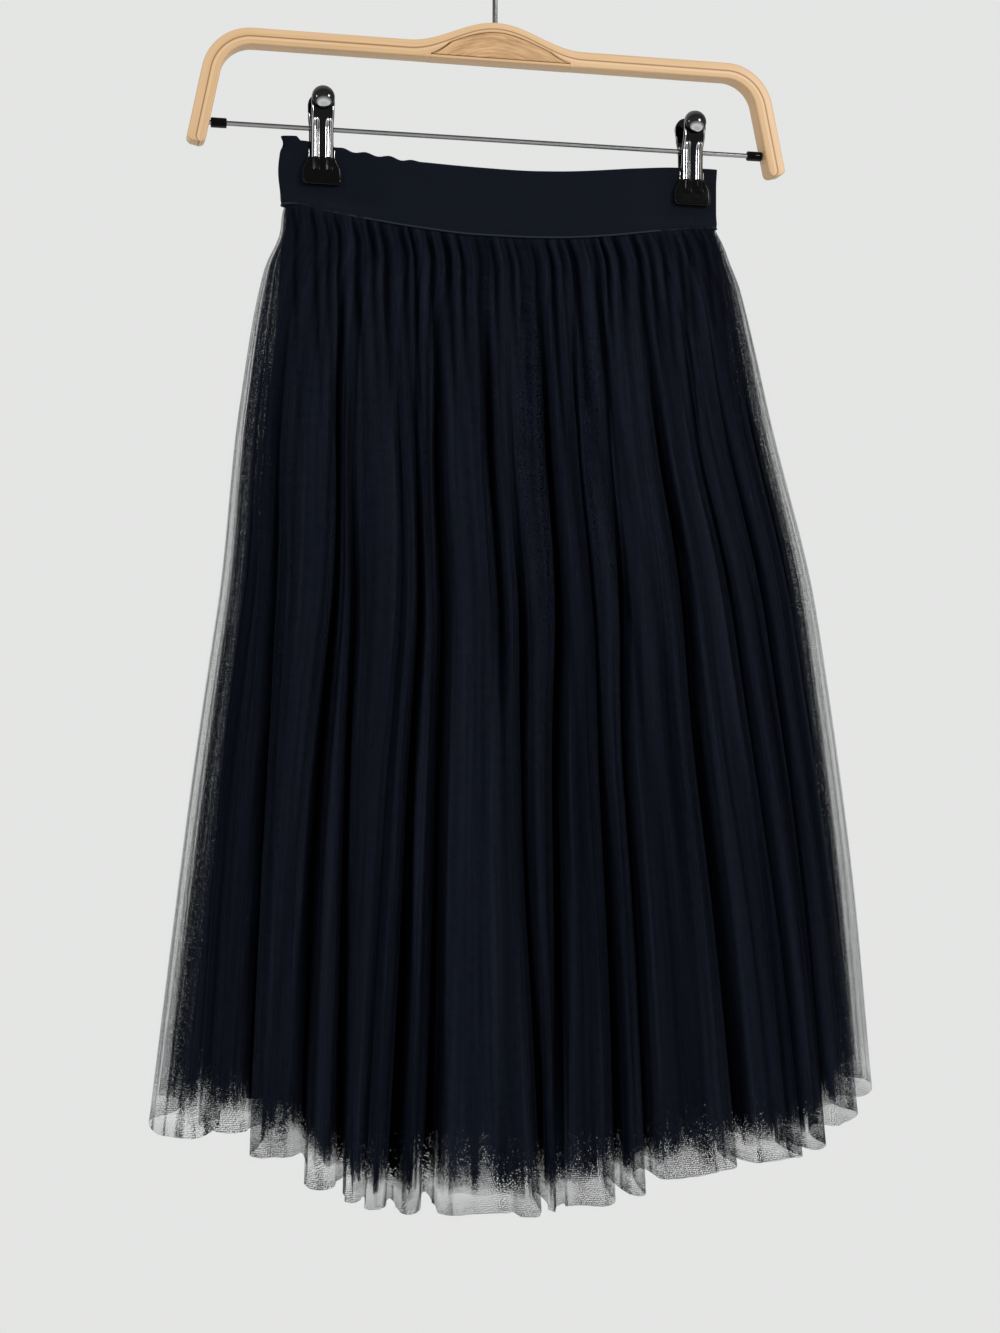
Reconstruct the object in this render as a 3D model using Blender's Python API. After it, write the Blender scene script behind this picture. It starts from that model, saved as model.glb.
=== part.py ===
"""A gathered tulle skirt hung by its waistband from a bent-wood clip hanger.

Metres, +Z up, the front of the skirt towards -Y. The origin is the inside top of the hook,
where it rests on a rail. Places along the waist and hem run from the left end of the front
(share 0) to the right end of the front (share 1), and on round the back (share 2 is the start).
"""

import math

import bmesh
import bpy
import numpy as np

GAP = 0.0003

# Heights of the hanger
HOOK_WIRE = 0.0037
HOOK_INSIDE_RADIUS = 0.0200
HUMP_TOP = -0.0721
BAR_TOP = -0.0885
ROD_HEIGHT = -0.1546

# Bent-wood bow
BOW_DEPTH = 0.0145
BAR_THICKNESS = 0.0116
ARM_THICKNESS = 0.0130
CORNER_START = 0.1745
CORNER_RADIUS = 0.0360
ARM_LEAN = math.radians(12)
ARM_TIP = -0.1680
TIP_ROUND = 0.0036
BOW_EDGE_ROUND = 0.0012
HUMP_HALF_WIDTH = 0.0640
CORE_CENTRE = 0.0030
CORE_HALF_WIDTH = 0.0500
CORE_STRIP = 0.0026
CORE_TIP = 0.0006
UPPER_STRIP = 0.0074
HOOK_HOLE_DEPTH = 0.0065
HOOK_NECK = 0.0075
HOOK_SIDESTEP = 0.0075
HOOK_START, HOOK_END = -56, 200

# Rod and its end sleeves
ROD_RADIUS = 0.0017
ROD_HALF_LENGTH = 0.2075
SLEEVE_RADIUS = 0.0035
SLEEVE_LENGTH = 0.0110

# Clips: where each sits along the rod, and its heights from the rod
CLIPS = {"left": -0.1260, "right": 0.1480}
LEVER_SHEET = 0.0012
LEVER_PROFILE = [  # height from the rod, distance from the rod's plane, half width
    (0.0276, 0.0105, 0.0050),
    (0.0225, 0.0105, 0.0078),
    (0.0105, 0.0105, 0.0084),
    (0.0000, 0.0060, 0.0094),
    (-0.0212, 0.0052, 0.0094),
]
PAD_RADIUS = 0.0080
PAD_HEIGHT = 0.0194
PAD_RISE = 0.0056
JAW_OUTLINE = [  # height from the rod, half width
    (-0.0216, 0.0098),
    (-0.0250, 0.0112),
    (-0.0300, 0.0136),
    (-0.0370, 0.0140),
    (-0.0394, 0.0131),
    (-0.0402, 0.0112),
]
JAW_THICKNESS = 0.0048
SPRING_RADIUS = 0.0050
SPRING_HALF_LENGTH = 0.0060

# Waistband: an elastic ring, pinched flat by the clips
BAND_WALL = 0.0018
BAND_CENTRE = 0.0070
BAND_HALF_WIDTH = 0.1612
BAND_TOP = -0.1782
BAND_BOTTOM = -0.2272
BAND_TOP_SAG = 0.0165
BAND_BOTTOM_SAG = 0.0185
SAG_CENTRE = 0.0120
SAG_REACH = 0.1600
BAND_PINCH = 0.0024
BAND_ROWS = [0.0, 0.35, 0.70, 1.0]
BAND_OPEN = [0.0080, 0.0092, 0.0108, 0.0125]
BAND_END_OPEN = [0.0042, 0.0048, 0.0065, 0.0110]
BAND_COLUMNS = 72
BAND_BLUNTNESS = 14
COLUMN_EVENING = 0.10
CLIP_GRIP = 0.0155
BAND_RELEASE = 0.0350
SEAM_GRIP = 0.15

# Tulle layers, outermost first: each lies further in, stands out less and hangs less low
TULLE_WALL = 0.0010
LAYERS = [  # name, inset below the gathers, share of the ridges kept, hem lift
    ("tulle_outer", 0.00000, 1.00, 0.000),
    ("tulle_middle", 0.00240, 0.70, 0.008),
    ("tulle_inner", 0.00480, 0.42, 0.016),
]
SEAM_INSET = 0.75
SEAM_REACH = 0.15
GATHER = 0.0012
GATHER_REACH = 0.30
GATHER_PATTERN = (-1.0, 0.7, -0.5, 1.0, -0.3)
FOOT_SINK = 0.75
FOOT_LEAST = 0.2
RIDGE_TOP_LEAST = 0.0046
RIDGE_TOP_PER_INSET = 0.20
EVEN_TOP, EVEN_FOOT = 0.26, 0.6

# The skirt's body, by share of the way from the waist seam to the hem
BODY = [  # way down, half width, front depth, back depth, centre, bluntness of the ends
    (0.00, 0.1600, 0.0120, 0.0120, 0.0070, 16.0),
    (0.07, 0.1740, 0.0215, 0.0200, 0.0093, 9.0),
    (0.22, 0.1900, 0.0370, 0.0300, 0.0128, 5.5),
    (0.45, 0.2122, 0.0610, 0.0430, 0.0225, 3.8),
    (0.72, 0.2325, 0.0880, 0.0580, 0.0220, 3.0),
    (1.00, 0.2485, 0.1100, 0.0720, 0.0190, 2.6),
]
FOLD_GROWTH = 0.72
MITRE_LIMIT = 2.2

# Each fold: where its ridge starts at the waist and ends at the hem, how far it stands out and
# how deep the valley before it goes, how wide its top and its foot are, and its hem height
FOLDS = [  # waist, hem, rise, sink, top, foot, hem height
    (0.020, 0.035, 0.017, 0.016, 0.45, 0.75, -0.851),
    (0.070, 0.106, 0.019, 0.018, 0.55, 0.82, -0.837),
    (0.125, 0.176, 0.020, 0.020, 0.55, 0.80, -0.853),
    (0.185, 0.241, 0.022, 0.020, 0.50, 0.78, -0.871),
    (0.245, 0.290, 0.026, 0.022, 0.52, 0.76, -0.883),
    (0.305, 0.322, 0.028, 0.024, 0.56, 0.80, -0.888),
    (0.368, 0.352, 0.024, 0.026, 0.44, 0.74, -0.887),
    (0.445, 0.402, 0.022, 0.022, 0.66, 0.86, -0.892),
    (0.508, 0.449, 0.024, 0.018, 0.44, 0.72, -0.891),
    (0.565, 0.488, 0.028, 0.026, 0.56, 0.78, -0.888),
    (0.622, 0.535, 0.022, 0.022, 0.60, 0.84, -0.881),
    (0.680, 0.580, 0.030, 0.026, 0.44, 0.74, -0.883),
    (0.745, 0.632, 0.022, 0.024, 0.62, 0.84, -0.882),
    (0.812, 0.692, 0.022, 0.024, 0.60, 0.84, -0.873),
    (0.872, 0.757, 0.022, 0.022, 0.58, 0.82, -0.875),
    (0.927, 0.828, 0.020, 0.020, 0.55, 0.82, -0.871),
    (0.980, 0.892, 0.017, 0.018, 0.44, 0.74, -0.851),
    (1.045, 0.978, 0.016, 0.016, 0.42, 0.72, -0.824),
    (1.125, 1.092, 0.019, 0.018, 0.55, 0.80, -0.848),
    (1.215, 1.185, 0.020, 0.020, 0.50, 0.80, -0.856),
    (1.300, 1.272, 0.022, 0.019, 0.58, 0.82, -0.862),
    (1.395, 1.368, 0.019, 0.022, 0.48, 0.76, -0.866),
    (1.480, 1.458, 0.023, 0.020, 0.60, 0.84, -0.863),
    (1.575, 1.556, 0.020, 0.022, 0.52, 0.78, -0.867),
    (1.665, 1.648, 0.022, 0.020, 0.56, 0.82, -0.862),
    (1.755, 1.742, 0.020, 0.020, 0.50, 0.80, -0.858),
    (1.845, 1.836, 0.020, 0.018, 0.56, 0.82, -0.852),
    (1.935, 1.935, 0.017, 0.017, 0.46, 0.76, -0.830),
]

# Lining: a plain flared tube inside the tulle
LINING_WALL = 0.0010
LINING_COLUMNS = 56
LINING = [  # height (the seam has none), half width, front depth, back depth, centre, bluntness
    (None, 0.1540, 0.0052, 0.0052, 0.0070, 34.0),
    (-0.2600, 0.1645, 0.0072, 0.0072, 0.0095, 12.0),
    (-0.3600, 0.1700, 0.0160, 0.0125, 0.0130, 10.0),
    (-0.5000, 0.1830, 0.0290, 0.0190, 0.0200, 5.0),
    (-0.8150, 0.2000, 0.0600, 0.0330, 0.0220, 3.0),
]


def clear_scene():
    for obj in list(bpy.data.objects):
        bpy.data.objects.remove(obj, do_unlink=True)


def material(name, color, roughness, metallic=0.0):
    made = bpy.data.materials.new(name)
    made.use_nodes = True
    shader = made.node_tree.nodes["Principled BSDF"]
    shader.inputs["Base Color"].default_value = (*color, 1.0)
    shader.inputs["Roughness"].default_value = roughness
    shader.inputs["Metallic"].default_value = metallic
    return made


def mesh_object(name, points, faces, finish, smooth=False):
    mesh = bpy.data.meshes.new(name)
    mesh.from_pydata([tuple(point) for point in points], [], faces)
    mesh.update()
    made = bpy.data.objects.new(name, mesh)
    bpy.context.scene.collection.objects.link(made)
    mesh.materials.append(finish)
    if smooth:
        mesh.shade_smooth()
        mesh.set_sharp_from_angle(angle=math.radians(50))
    return made


def extruded(name, outline, near, far, finish):
    """A closed plate: an outline of (across, height) in the XZ plane, from near to far along Y."""
    count = len(outline)
    points = [(across, depth, height) for depth in (near, far) for across, height in outline]
    faces = [tuple(range(count)), tuple(reversed(range(count, 2 * count)))]
    for i in range(count):
        j = (i + 1) % count
        faces.append((j, i, i + count, j + count))
    made = mesh_object(name, points, faces, finish)
    face_outward(made)
    return made


def face_outward(made):
    body = bmesh.new()
    body.from_mesh(made.data)
    bmesh.ops.recalc_face_normals(body, faces=body.faces)
    body.to_mesh(made.data)
    body.free()


def rounded_edges(made, width, segments=2):
    bevel = made.modifiers.new("Rounded edges", "BEVEL")
    bevel.width = width
    bevel.segments = segments
    bevel.limit_method = "ANGLE"
    bevel.angle_limit = math.radians(40)


def cut(made, cutter):
    """Takes the cutter's space out of the object, and hides the cutter."""
    cutter.hide_render = True
    cutter.display_type = "WIRE"
    boolean = made.modifiers.new(f"Cut {cutter.name}", "BOOLEAN")
    boolean.operation = "DIFFERENCE"
    boolean.object = cutter


def turned(name, profile, sides, finish):
    """A closed ring or disc turned about X: (along, radius) pairs of the section, which may touch the axis."""
    points = []
    rings = []
    for along, radius in profile:
        if radius == 0.0:
            rings.append([len(points)] * sides)
            points.append((along, 0.0, 0.0))
            continue
        rings.append(list(range(len(points), len(points) + sides)))
        for i in range(sides):
            angle = 2 * math.pi * i / sides
            points.append((along, radius * math.cos(angle), radius * math.sin(angle)))
    closed = profile[0][1] != 0.0
    pairs = list(zip(rings, rings[1:])) + ([(rings[-1], rings[0])] if closed else [])
    faces = []
    for here, after in pairs:
        for i in range(sides):
            j = (i + 1) % sides
            corners = [here[i], here[j], after[j], after[i]]
            faces.append(tuple(dict.fromkeys(corners)))
    made = mesh_object(name, points, faces, finish, smooth=True)
    face_outward(made)
    return made


# Cloth rings


def flattened_ring(half_width, front, back, centre, bluntness, samples=480):
    """x, y round a flattened ring from its left end by the front, with the share reached at each point."""
    across = -np.cos(np.linspace(0.0, math.pi, samples))
    deep = np.sqrt(1 - np.abs(across) ** bluntness)
    x_front = centre + half_width * across
    x = np.concatenate([x_front, x_front[::-1][1:]])
    y = np.concatenate([-front * deep, back * deep[1:]])
    run = np.concatenate([[0.0], np.cumsum(np.hypot(np.diff(x), np.diff(y)))])
    middle = run[samples - 1]
    share = np.where(run <= middle, run / middle, 1 + (run - middle) / (run[-1] - middle))
    return x, y, share, run[-1]


def ring_at(ring, shares):
    """Points and outward normals of the ring at the given shares, which wrap past 2."""
    x, y, share, _ = ring
    step = 0.002

    def spot(s):
        s = np.mod(s, 2.0)
        return np.stack([np.interp(s, share, x), np.interp(s, share, y)], axis=1)

    points = spot(shares)
    along = spot(shares + step) - spot(shares - step)
    along /= np.linalg.norm(along, axis=1, keepdims=True)
    normals = np.stack([along[:, 1], -along[:, 0]], axis=1)
    return points, normals


def moved_in(points, distance):
    """The closed outline moved inwards by the distance, mitred at its corners."""
    after = np.roll(points, -1, axis=0) - points
    after /= np.linalg.norm(after, axis=1, keepdims=True)
    before = np.roll(after, 1, axis=0)
    inward_after = np.stack([-after[:, 1], after[:, 0]], axis=1)
    inward_before = np.stack([-before[:, 1], before[:, 0]], axis=1)
    middle = inward_after + inward_before
    stretch = 1.0 / np.maximum((middle**2).sum(axis=1) / 2, 1e-6)
    mitre = middle * stretch[:, None]
    length = np.linalg.norm(mitre, axis=1, keepdims=True)
    mitre *= np.minimum(1.0, MITRE_LIMIT / length)
    return points + distance * mitre


def cloth_wall(name, outer_rows, inner_rows, finish):
    """A closed wall between two stacks of closed outlines, (rows, columns, 3), from the top down."""
    rows, columns, _ = outer_rows.shape
    points = np.concatenate([outer_rows.reshape(-1, 3), inner_rows.reshape(-1, 3)])
    inner = rows * columns
    faces = []
    for c in range(columns):
        d = (c + 1) % columns
        for r in range(rows - 1):
            a, b = r * columns + c, r * columns + d
            faces.append((a, a + columns, b + columns, b))
            faces.append((inner + a, inner + b, inner + b + columns, inner + a + columns))
        low = (rows - 1) * columns
        faces.append((c, d, inner + d, inner + c))
        faces.append((low + d, low + c, inner + low + c, inner + low + d))
    return mesh_object(name, points, faces, finish, smooth=True)


def sag(x, lowest, rise):
    """Height of an edge of the band: lowest in the middle, higher towards its ends."""
    return lowest + rise * ((x - SAG_CENTRE) / SAG_REACH) ** 2


def seam_height(outline):
    return sag(outline[:, 0], BAND_BOTTOM, BAND_BOTTOM_SAG) - GAP


# Waistband


def clip_hold(x):
    """1 where a clip grips the band, falling smoothly to 0 away from it."""
    hold = np.zeros_like(x)
    for place in CLIPS.values():
        away = np.clip((np.abs(x - place) - CLIP_GRIP) / BAND_RELEASE, 0.0, 1.0)
        hold = np.maximum(hold, 1 - away * away * (3 - 2 * away))
    return hold


def band_outline(row):
    """x, y round the band's outer face at one of its rows, from the left end by the front."""
    half = BAND_COLUMNS // 2
    angle = math.pi * np.arange(half) / half
    across = -np.cos(angle) * (1 + COLUMN_EVENING * np.sin(angle) ** 2)
    across /= np.abs(across).max()
    x = BAND_CENTRE + BAND_HALF_WIDTH * across
    outside = (x < CLIPS["left"]) | (x > CLIPS["right"])
    full = np.where(outside, BAND_END_OPEN[row], BAND_OPEN[row])
    grip = clip_hold(x) * (1.0 if row < len(BAND_ROWS) - 1 else SEAM_GRIP)
    close = np.sqrt(1 - np.abs(across) ** BAND_BLUNTNESS)
    depth = (full + (BAND_PINCH - full) * grip) * close
    x_back = BAND_CENTRE - BAND_HALF_WIDTH * across
    back_depth = np.interp(x_back, x, depth)
    return np.stack([np.concatenate([x, x_back]), np.concatenate([-depth, back_depth])], axis=1)


def make_waistband(finish):
    outer, inner = [], []
    for row, way in enumerate(BAND_ROWS):
        outline = band_outline(row)
        top = sag(outline[:, 0], BAND_TOP, BAND_TOP_SAG)
        bottom = sag(outline[:, 0], BAND_BOTTOM, BAND_BOTTOM_SAG)
        height = (top + (bottom - top) * way)[:, None]
        outer.append(np.hstack([outline, height]))
        inner.append(np.hstack([moved_in(outline, BAND_WALL), height]))
    return cloth_wall("waistband", np.array(outer), np.array(inner), finish)


# Tulle


def fold_columns(way):
    """Each fold's ridge, as a share round the skirt, and how far the valleys beside it are."""
    waist = np.array([fold[0] for fold in FOLDS])
    hem = np.array([fold[1] for fold in FOLDS])
    ridge = waist + (hem - waist) * way
    before = np.roll(ridge, 1)
    before[0] -= 2.0
    after = np.roll(ridge, -1)
    after[-1] += 2.0
    return ridge, (ridge - before) / 2, (after - ridge) / 2


def tulle_outline(way, inset, ridges_kept):
    """A layer's outline at a share of the way down, before its inset, and each column's hem height."""
    ways = [row[0] for row in BODY]
    ring = flattened_ring(*(np.interp(way, ways, sizes) for sizes in list(zip(*BODY))[1:]))
    ridge, left, right = fold_columns(way)
    least = (RIDGE_TOP_LEAST + RIDGE_TOP_PER_INSET * inset) * math.sqrt(way) * 2 / ring[3]
    amplitude = way**FOLD_GROWTH
    set_in = math.sqrt(way)
    shares, moves, hems = [], [], []
    for i, (_, _, rise, sink, top, foot, hem) in enumerate(FOLDS):
        hem_before = FOLDS[i - 1][6]
        sink_after = FOLDS[(i + 1) % len(FOLDS)][3]
        top = EVEN_TOP + (top - EVEN_TOP) * set_in
        foot = EVEN_FOOT + (foot - EVEN_FOOT) * set_in
        top_left = max(top * left[i], least)
        top_right = max(top * right[i], least)
        foot_left = max(foot * left[i], top_left + FOOT_LEAST * (left[i] - top_left))
        foot_right = max(foot * right[i], top_right + FOOT_LEAST * (right[i] - top_right))
        out = rise * ridges_kept
        shares += [ridge[i] - left[i], ridge[i] - foot_left, ridge[i] - top_left]
        shares += [ridge[i] + top_right, ridge[i] + foot_right]
        moves += [-sink, -FOOT_SINK * sink, out, out, -FOOT_SINK * sink_after]
        hems += [(hem + hem_before) / 2, hem, hem, hem, hem]
    points, normals = ring_at(ring, np.array(shares))
    gather = GATHER * max(0.0, 1 - way / GATHER_REACH) * np.tile(GATHER_PATTERN, len(FOLDS))
    move = amplitude * np.array(moves) + gather
    return points + normals * move[:, None], np.array(hems)


def make_tulle(name, inset, ridges_kept, hem_lift, finish):
    walls = ([], [])
    for way, *_ in BODY:
        outline, hem = tulle_outline(way, inset, ridges_kept)
        here = inset * min(1.0, SEAM_INSET + (1 - SEAM_INSET) * way / SEAM_REACH)
        for wall, depth in zip(walls, (here, here + TULLE_WALL)):
            edge = moved_in(outline, depth)
            if way == 0.0:
                seam = seam_height(outline)
                height = seam_height(edge)
            else:
                height = seam + (hem + hem_lift - seam) * way
            wall.append(np.hstack([edge, height[:, None]]))
    return cloth_wall(name, np.array(walls[0]), np.array(walls[1]), finish)


def make_lining(finish):
    shares = 2.0 * np.arange(LINING_COLUMNS) / LINING_COLUMNS
    walls = ([], [])
    for height, *sizes in LINING:
        outline, _ = ring_at(flattened_ring(*sizes), shares)
        for wall, depth in zip(walls, (0.0, LINING_WALL)):
            edge = moved_in(outline, depth)
            heights = seam_height(edge) if height is None else np.full(LINING_COLUMNS, height)
            wall.append(np.hstack([edge, heights[:, None]]))
    return cloth_wall("lining", np.array(walls[0]), np.array(walls[1]), finish)


# Hanger


def hump(x):
    """Height of the bow's top edge over its straight bar, for the raised middle."""
    reach = min(abs(x) / HUMP_HALF_WIDTH, 1.0)
    return (HUMP_TOP - BAR_TOP) * 0.5 * (1 + math.cos(math.pi * reach))


def bow_outline():
    """Half of the bow's outline, from the top of the hump out and down to the tip and back."""
    cos, sin = math.cos(ARM_LEAN), math.sin(ARM_LEAN)
    corner = (CORNER_START, BAR_TOP - CORNER_RADIUS)
    top = [(x, BAR_TOP + hump(x)) for x in np.linspace(0.0, HUMP_HALF_WIDTH, 9)]
    outer, inner = [], []
    for i in range(8):
        turn = (math.pi / 2 - ARM_LEAN) * i / 7
        thickness = BAR_THICKNESS + (ARM_THICKNESS - BAR_THICKNESS) * i / 7
        for edge, radius in ((outer, CORNER_RADIUS), (inner, CORNER_RADIUS - thickness)):
            edge.append((corner[0] + radius * math.sin(turn), corner[1] + radius * math.cos(turn)))
    drop = (outer[-1][1] - ARM_TIP) / cos
    tip = (outer[-1][0] + drop * sin, ARM_TIP)
    near = 0.3 * TIP_ROUND
    left = [(0.0, TIP_ROUND), (near, near), (TIP_ROUND, 0.0)]
    shape = left + [(ARM_THICKNESS - across, up) for across, up in left[::-1]]
    end = [(tip[0] - across * cos - up * sin, tip[1] - across * sin + up * cos) for across, up in shape]
    return top + outer + end + inner[::-1] + [(0.0, BAR_TOP - BAR_THICKNESS)]


def both_sides(half):
    """The whole outline of a half one, whose first and last points lie on the middle line."""
    return half + [(-x, z) for x, z in half[-2:0:-1]]


def core_outline(grow):
    """The lens-shaped middle of the hanger, grown all round by a small distance."""
    floor = BAR_TOP - BAR_THICKNESS + CORE_STRIP - grow
    reach = CORE_HALF_WIDTH + 4 * grow
    points = [(CORE_CENTRE - reach, floor), (CORE_CENTRE + reach, floor)]
    for i in range(1, 12):
        x = CORE_CENTRE + reach * math.cos(math.pi * i / 12)
        roof = BAR_TOP + hump(x) - UPPER_STRIP + grow
        points.append((x, max(roof, floor + CORE_TIP)))
    return points


def make_bow(finish):
    half_depth = BOW_DEPTH / 2
    bow = extruded("hanger_bow", both_sides(bow_outline()), -half_depth, half_depth, finish)
    rounded_edges(bow, BOW_EDGE_ROUND, 1)
    hollow = extruded("core_cutter", core_outline(1.25 * GAP), -BOW_DEPTH, BOW_DEPTH, finish)
    cut(bow, hollow)
    wide = (HOOK_WIRE / 2 + GAP) / math.cos(math.pi / 12)
    deep = 3 * HOOK_HOLE_DEPTH
    hole = turned("hook_cutter", [(0.0, 0.0), (0.0, wide), (deep, wide), (deep, 0.0)], 12, finish)
    hole.rotation_euler = (0.0, -math.pi / 2, 0.0)
    hole.location = (0.0, 0.0, HUMP_TOP - HOOK_HOLE_DEPTH)
    cut(bow, hole)
    socket = ROD_HALF_LENGTH + GAP
    wide = round_rod_hole(12)
    sides = [(-socket, 0.0), (-socket, wide), (socket, wide), (socket, 0.0)]
    rod_hole = turned("rod_cutter", sides, 12, finish)
    rod_hole.location = (0.0, 0.0, ROD_HEIGHT)
    cut(bow, rod_hole)
    return bow


def make_hook(finish):
    """Wire from the hole in the hump, aside and over the rail in a wide round."""
    radius = HOOK_INSIDE_RADIUS + HOOK_WIRE / 2
    centre = -HOOK_INSIDE_RADIUS
    foot = HUMP_TOP - HOOK_HOLE_DEPTH + GAP
    neck = centre - radius - HOOK_NECK
    route = [(0.0, foot), (0.0, (foot + neck) / 2), (0.0, neck)]
    route += [(HOOK_SIDESTEP / 3, neck + 0.6 * HOOK_NECK), (HOOK_SIDESTEP, neck + 1.1 * HOOK_NECK)]
    for turn in np.linspace(math.radians(HOOK_START), math.radians(HOOK_END), 22):
        route.append((radius * math.cos(turn), centre + radius * math.sin(turn)))
    curve = bpy.data.curves.new("hook", "CURVE")
    curve.dimensions = "3D"
    curve.bevel_depth = HOOK_WIRE / 2
    curve.bevel_resolution = 2
    curve.use_fill_caps = True
    spline = curve.splines.new("POLY")
    spline.points.add(len(route) - 1)
    for point, (x, z) in zip(spline.points, route):
        point.co = (x, 0.0, z, 1.0)
    made = bpy.data.objects.new("hook", curve)
    bpy.context.scene.collection.objects.link(made)
    curve.materials.append(finish)
    return made


def make_rod(steel, plastic):
    sides = [(-ROD_HALF_LENGTH, 0.0), (-ROD_HALF_LENGTH, ROD_RADIUS)]
    sides += [(ROD_HALF_LENGTH, ROD_RADIUS), (ROD_HALF_LENGTH, 0.0)]
    rod = turned("rod", sides, 12, steel)
    rod.location = (0.0, 0.0, ROD_HEIGHT)
    reach = arm_inner_face(ROD_HEIGHT + SLEEVE_RADIUS) - GAP
    inside = round_rod_hole(16)
    for side, name in ((-1, "rod_sleeve_left"), (1, "rod_sleeve_right")):
        ends = (reach - SLEEVE_LENGTH, reach)
        ring = [(ends[0], inside), (ends[0], SLEEVE_RADIUS), (ends[1], SLEEVE_RADIUS), (ends[1], inside)]
        sleeve = turned(name, [(side * along, radius) for along, radius in ring], 16, plastic)
        sleeve.location = (0.0, 0.0, ROD_HEIGHT)


def round_rod_hole(sides):
    """Corner radius of a many-sided hole that clears the rod all round."""
    return (ROD_RADIUS + GAP) / math.cos(math.pi / sides)


def arm_inner_face(height):
    """How far out the inner face of a hanger arm is at a height."""
    cos, sin = math.cos(ARM_LEAN), math.sin(ARM_LEAN)
    inner_radius = CORNER_RADIUS - ARM_THICKNESS
    start = (CORNER_START + inner_radius * cos, BAR_TOP - CORNER_RADIUS + inner_radius * sin)
    return start[0] + (start[1] - height) * math.tan(ARM_LEAN)


# Clips


def lever(name, place, side, finish):
    """One sheet lever of a clip; side is -1 in front of the cloth and 1 behind it."""
    half = LEVER_SHEET / 2
    points = []
    for height, away, half_width in LEVER_PROFILE:
        for across, face in ((-1, half), (1, half), (1, -half), (-1, -half)):
            y = side * (away + face)
            points.append((place + across * half_width, y, ROD_HEIGHT + height))
    last = len(LEVER_PROFILE) - 1
    faces = [(0, 1, 2, 3), tuple(4 * last + i for i in (3, 2, 1, 0))]
    for r in range(last):
        for i in range(4):
            j = (i + 1) % 4
            faces.append((4 * r + i, 4 * r + 4 + i, 4 * r + 4 + j, 4 * r + j))
    made = mesh_object(name, points, faces, finish)
    face_outward(made)
    return made


def thumb_pad(name, place, side, finish):
    """A domed round pad on the top of a lever."""
    back = LEVER_PROFILE[0][1] + LEVER_SHEET / 2 + GAP
    dome = [(0.0, 0.0), (0.0, PAD_RADIUS)]
    for i in range(1, 5):
        angle = math.pi / 2 * i / 5
        dome.append((PAD_RISE * math.sin(angle), PAD_RADIUS * math.cos(angle)))
    dome.append((PAD_RISE, 0.0))
    pad = turned(name, dome, 16, finish)
    pad.rotation_euler = (0.0, 0.0, side * math.pi / 2)
    pad.location = (place, side * back, ROD_HEIGHT + PAD_HEIGHT)
    return pad


def jaw(name, place, side, finish):
    """One dipped jaw that presses the cloth, wider at its lower end."""
    left = [(place - half_width, ROD_HEIGHT + height) for height, half_width in JAW_OUTLINE]
    right = [(place + half_width, ROD_HEIGHT + height) for height, half_width in JAW_OUTLINE[::-1]]
    inside = BAND_PINCH + GAP
    near, far = side * inside, side * (inside + JAW_THICKNESS)
    made = extruded(name, left + right, near, far, finish)
    rounded_edges(made, 0.0008, 1)
    return made


def make_clip(side_name, place, chrome, dipped, steel):
    for face, side in (("front", -1), ("back", 1)):
        lever(f"clip_{side_name}_{face}_lever", place, side, chrome)
        thumb_pad(f"clip_{side_name}_{face}_pad", place, side, chrome)
        jaw(f"clip_{side_name}_{face}_jaw", place, side, dipped)
    inside = round_rod_hole(16)
    ends = SPRING_HALF_LENGTH
    ring = [(-ends, inside), (-ends, SPRING_RADIUS), (ends, SPRING_RADIUS), (ends, inside)]
    spring = turned(f"clip_{side_name}_spring", ring, 16, steel)
    spring.location = (place, 0.0, ROD_HEIGHT)


def build():
    clear_scene()
    wood = material("Light birch ply", (0.72, 0.50, 0.29), 0.45)
    core_wood = material("Core wood", (0.60, 0.37, 0.16), 0.50)
    steel = material("Dull steel", (0.45, 0.45, 0.44), 0.35, 1.0)
    chrome = material("Chrome", (0.75, 0.75, 0.75), 0.08, 1.0)
    dipped = material("Black dipped vinyl", (0.006, 0.006, 0.008), 0.15)
    elastic = material("Navy elastic", (0.007, 0.009, 0.014), 0.80)
    tulle = material("Navy tulle", (0.007, 0.010, 0.019), 0.70)
    lining = material("Navy lining", (0.004, 0.005, 0.010), 0.65)

    make_hook(steel)
    make_bow(wood)
    extruded("hanger_core", core_outline(0.0), -BOW_DEPTH / 2, BOW_DEPTH / 2, core_wood)
    make_rod(steel, dipped)
    for side_name, place in CLIPS.items():
        make_clip(side_name, place, chrome, dipped, steel)
    make_waistband(elastic)
    for name, inset, ridges_kept, hem_lift in LAYERS:
        make_tulle(name, inset, ridges_kept, hem_lift, tulle)
    make_lining(lining)


build()
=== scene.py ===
"""Looks of a gathered tulle skirt on a bent-wood clip hanger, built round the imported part.

Metres, +Z up, the front of the skirt towards -Y, the origin at the inside top of the hook.
Shares run round the skirt: 0 at the left end, 1 at the right end by the front, 2 back at the left.
Ways run down the skirt: 0 at the waist seam, 1 at the hem.
"""

import math

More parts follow.
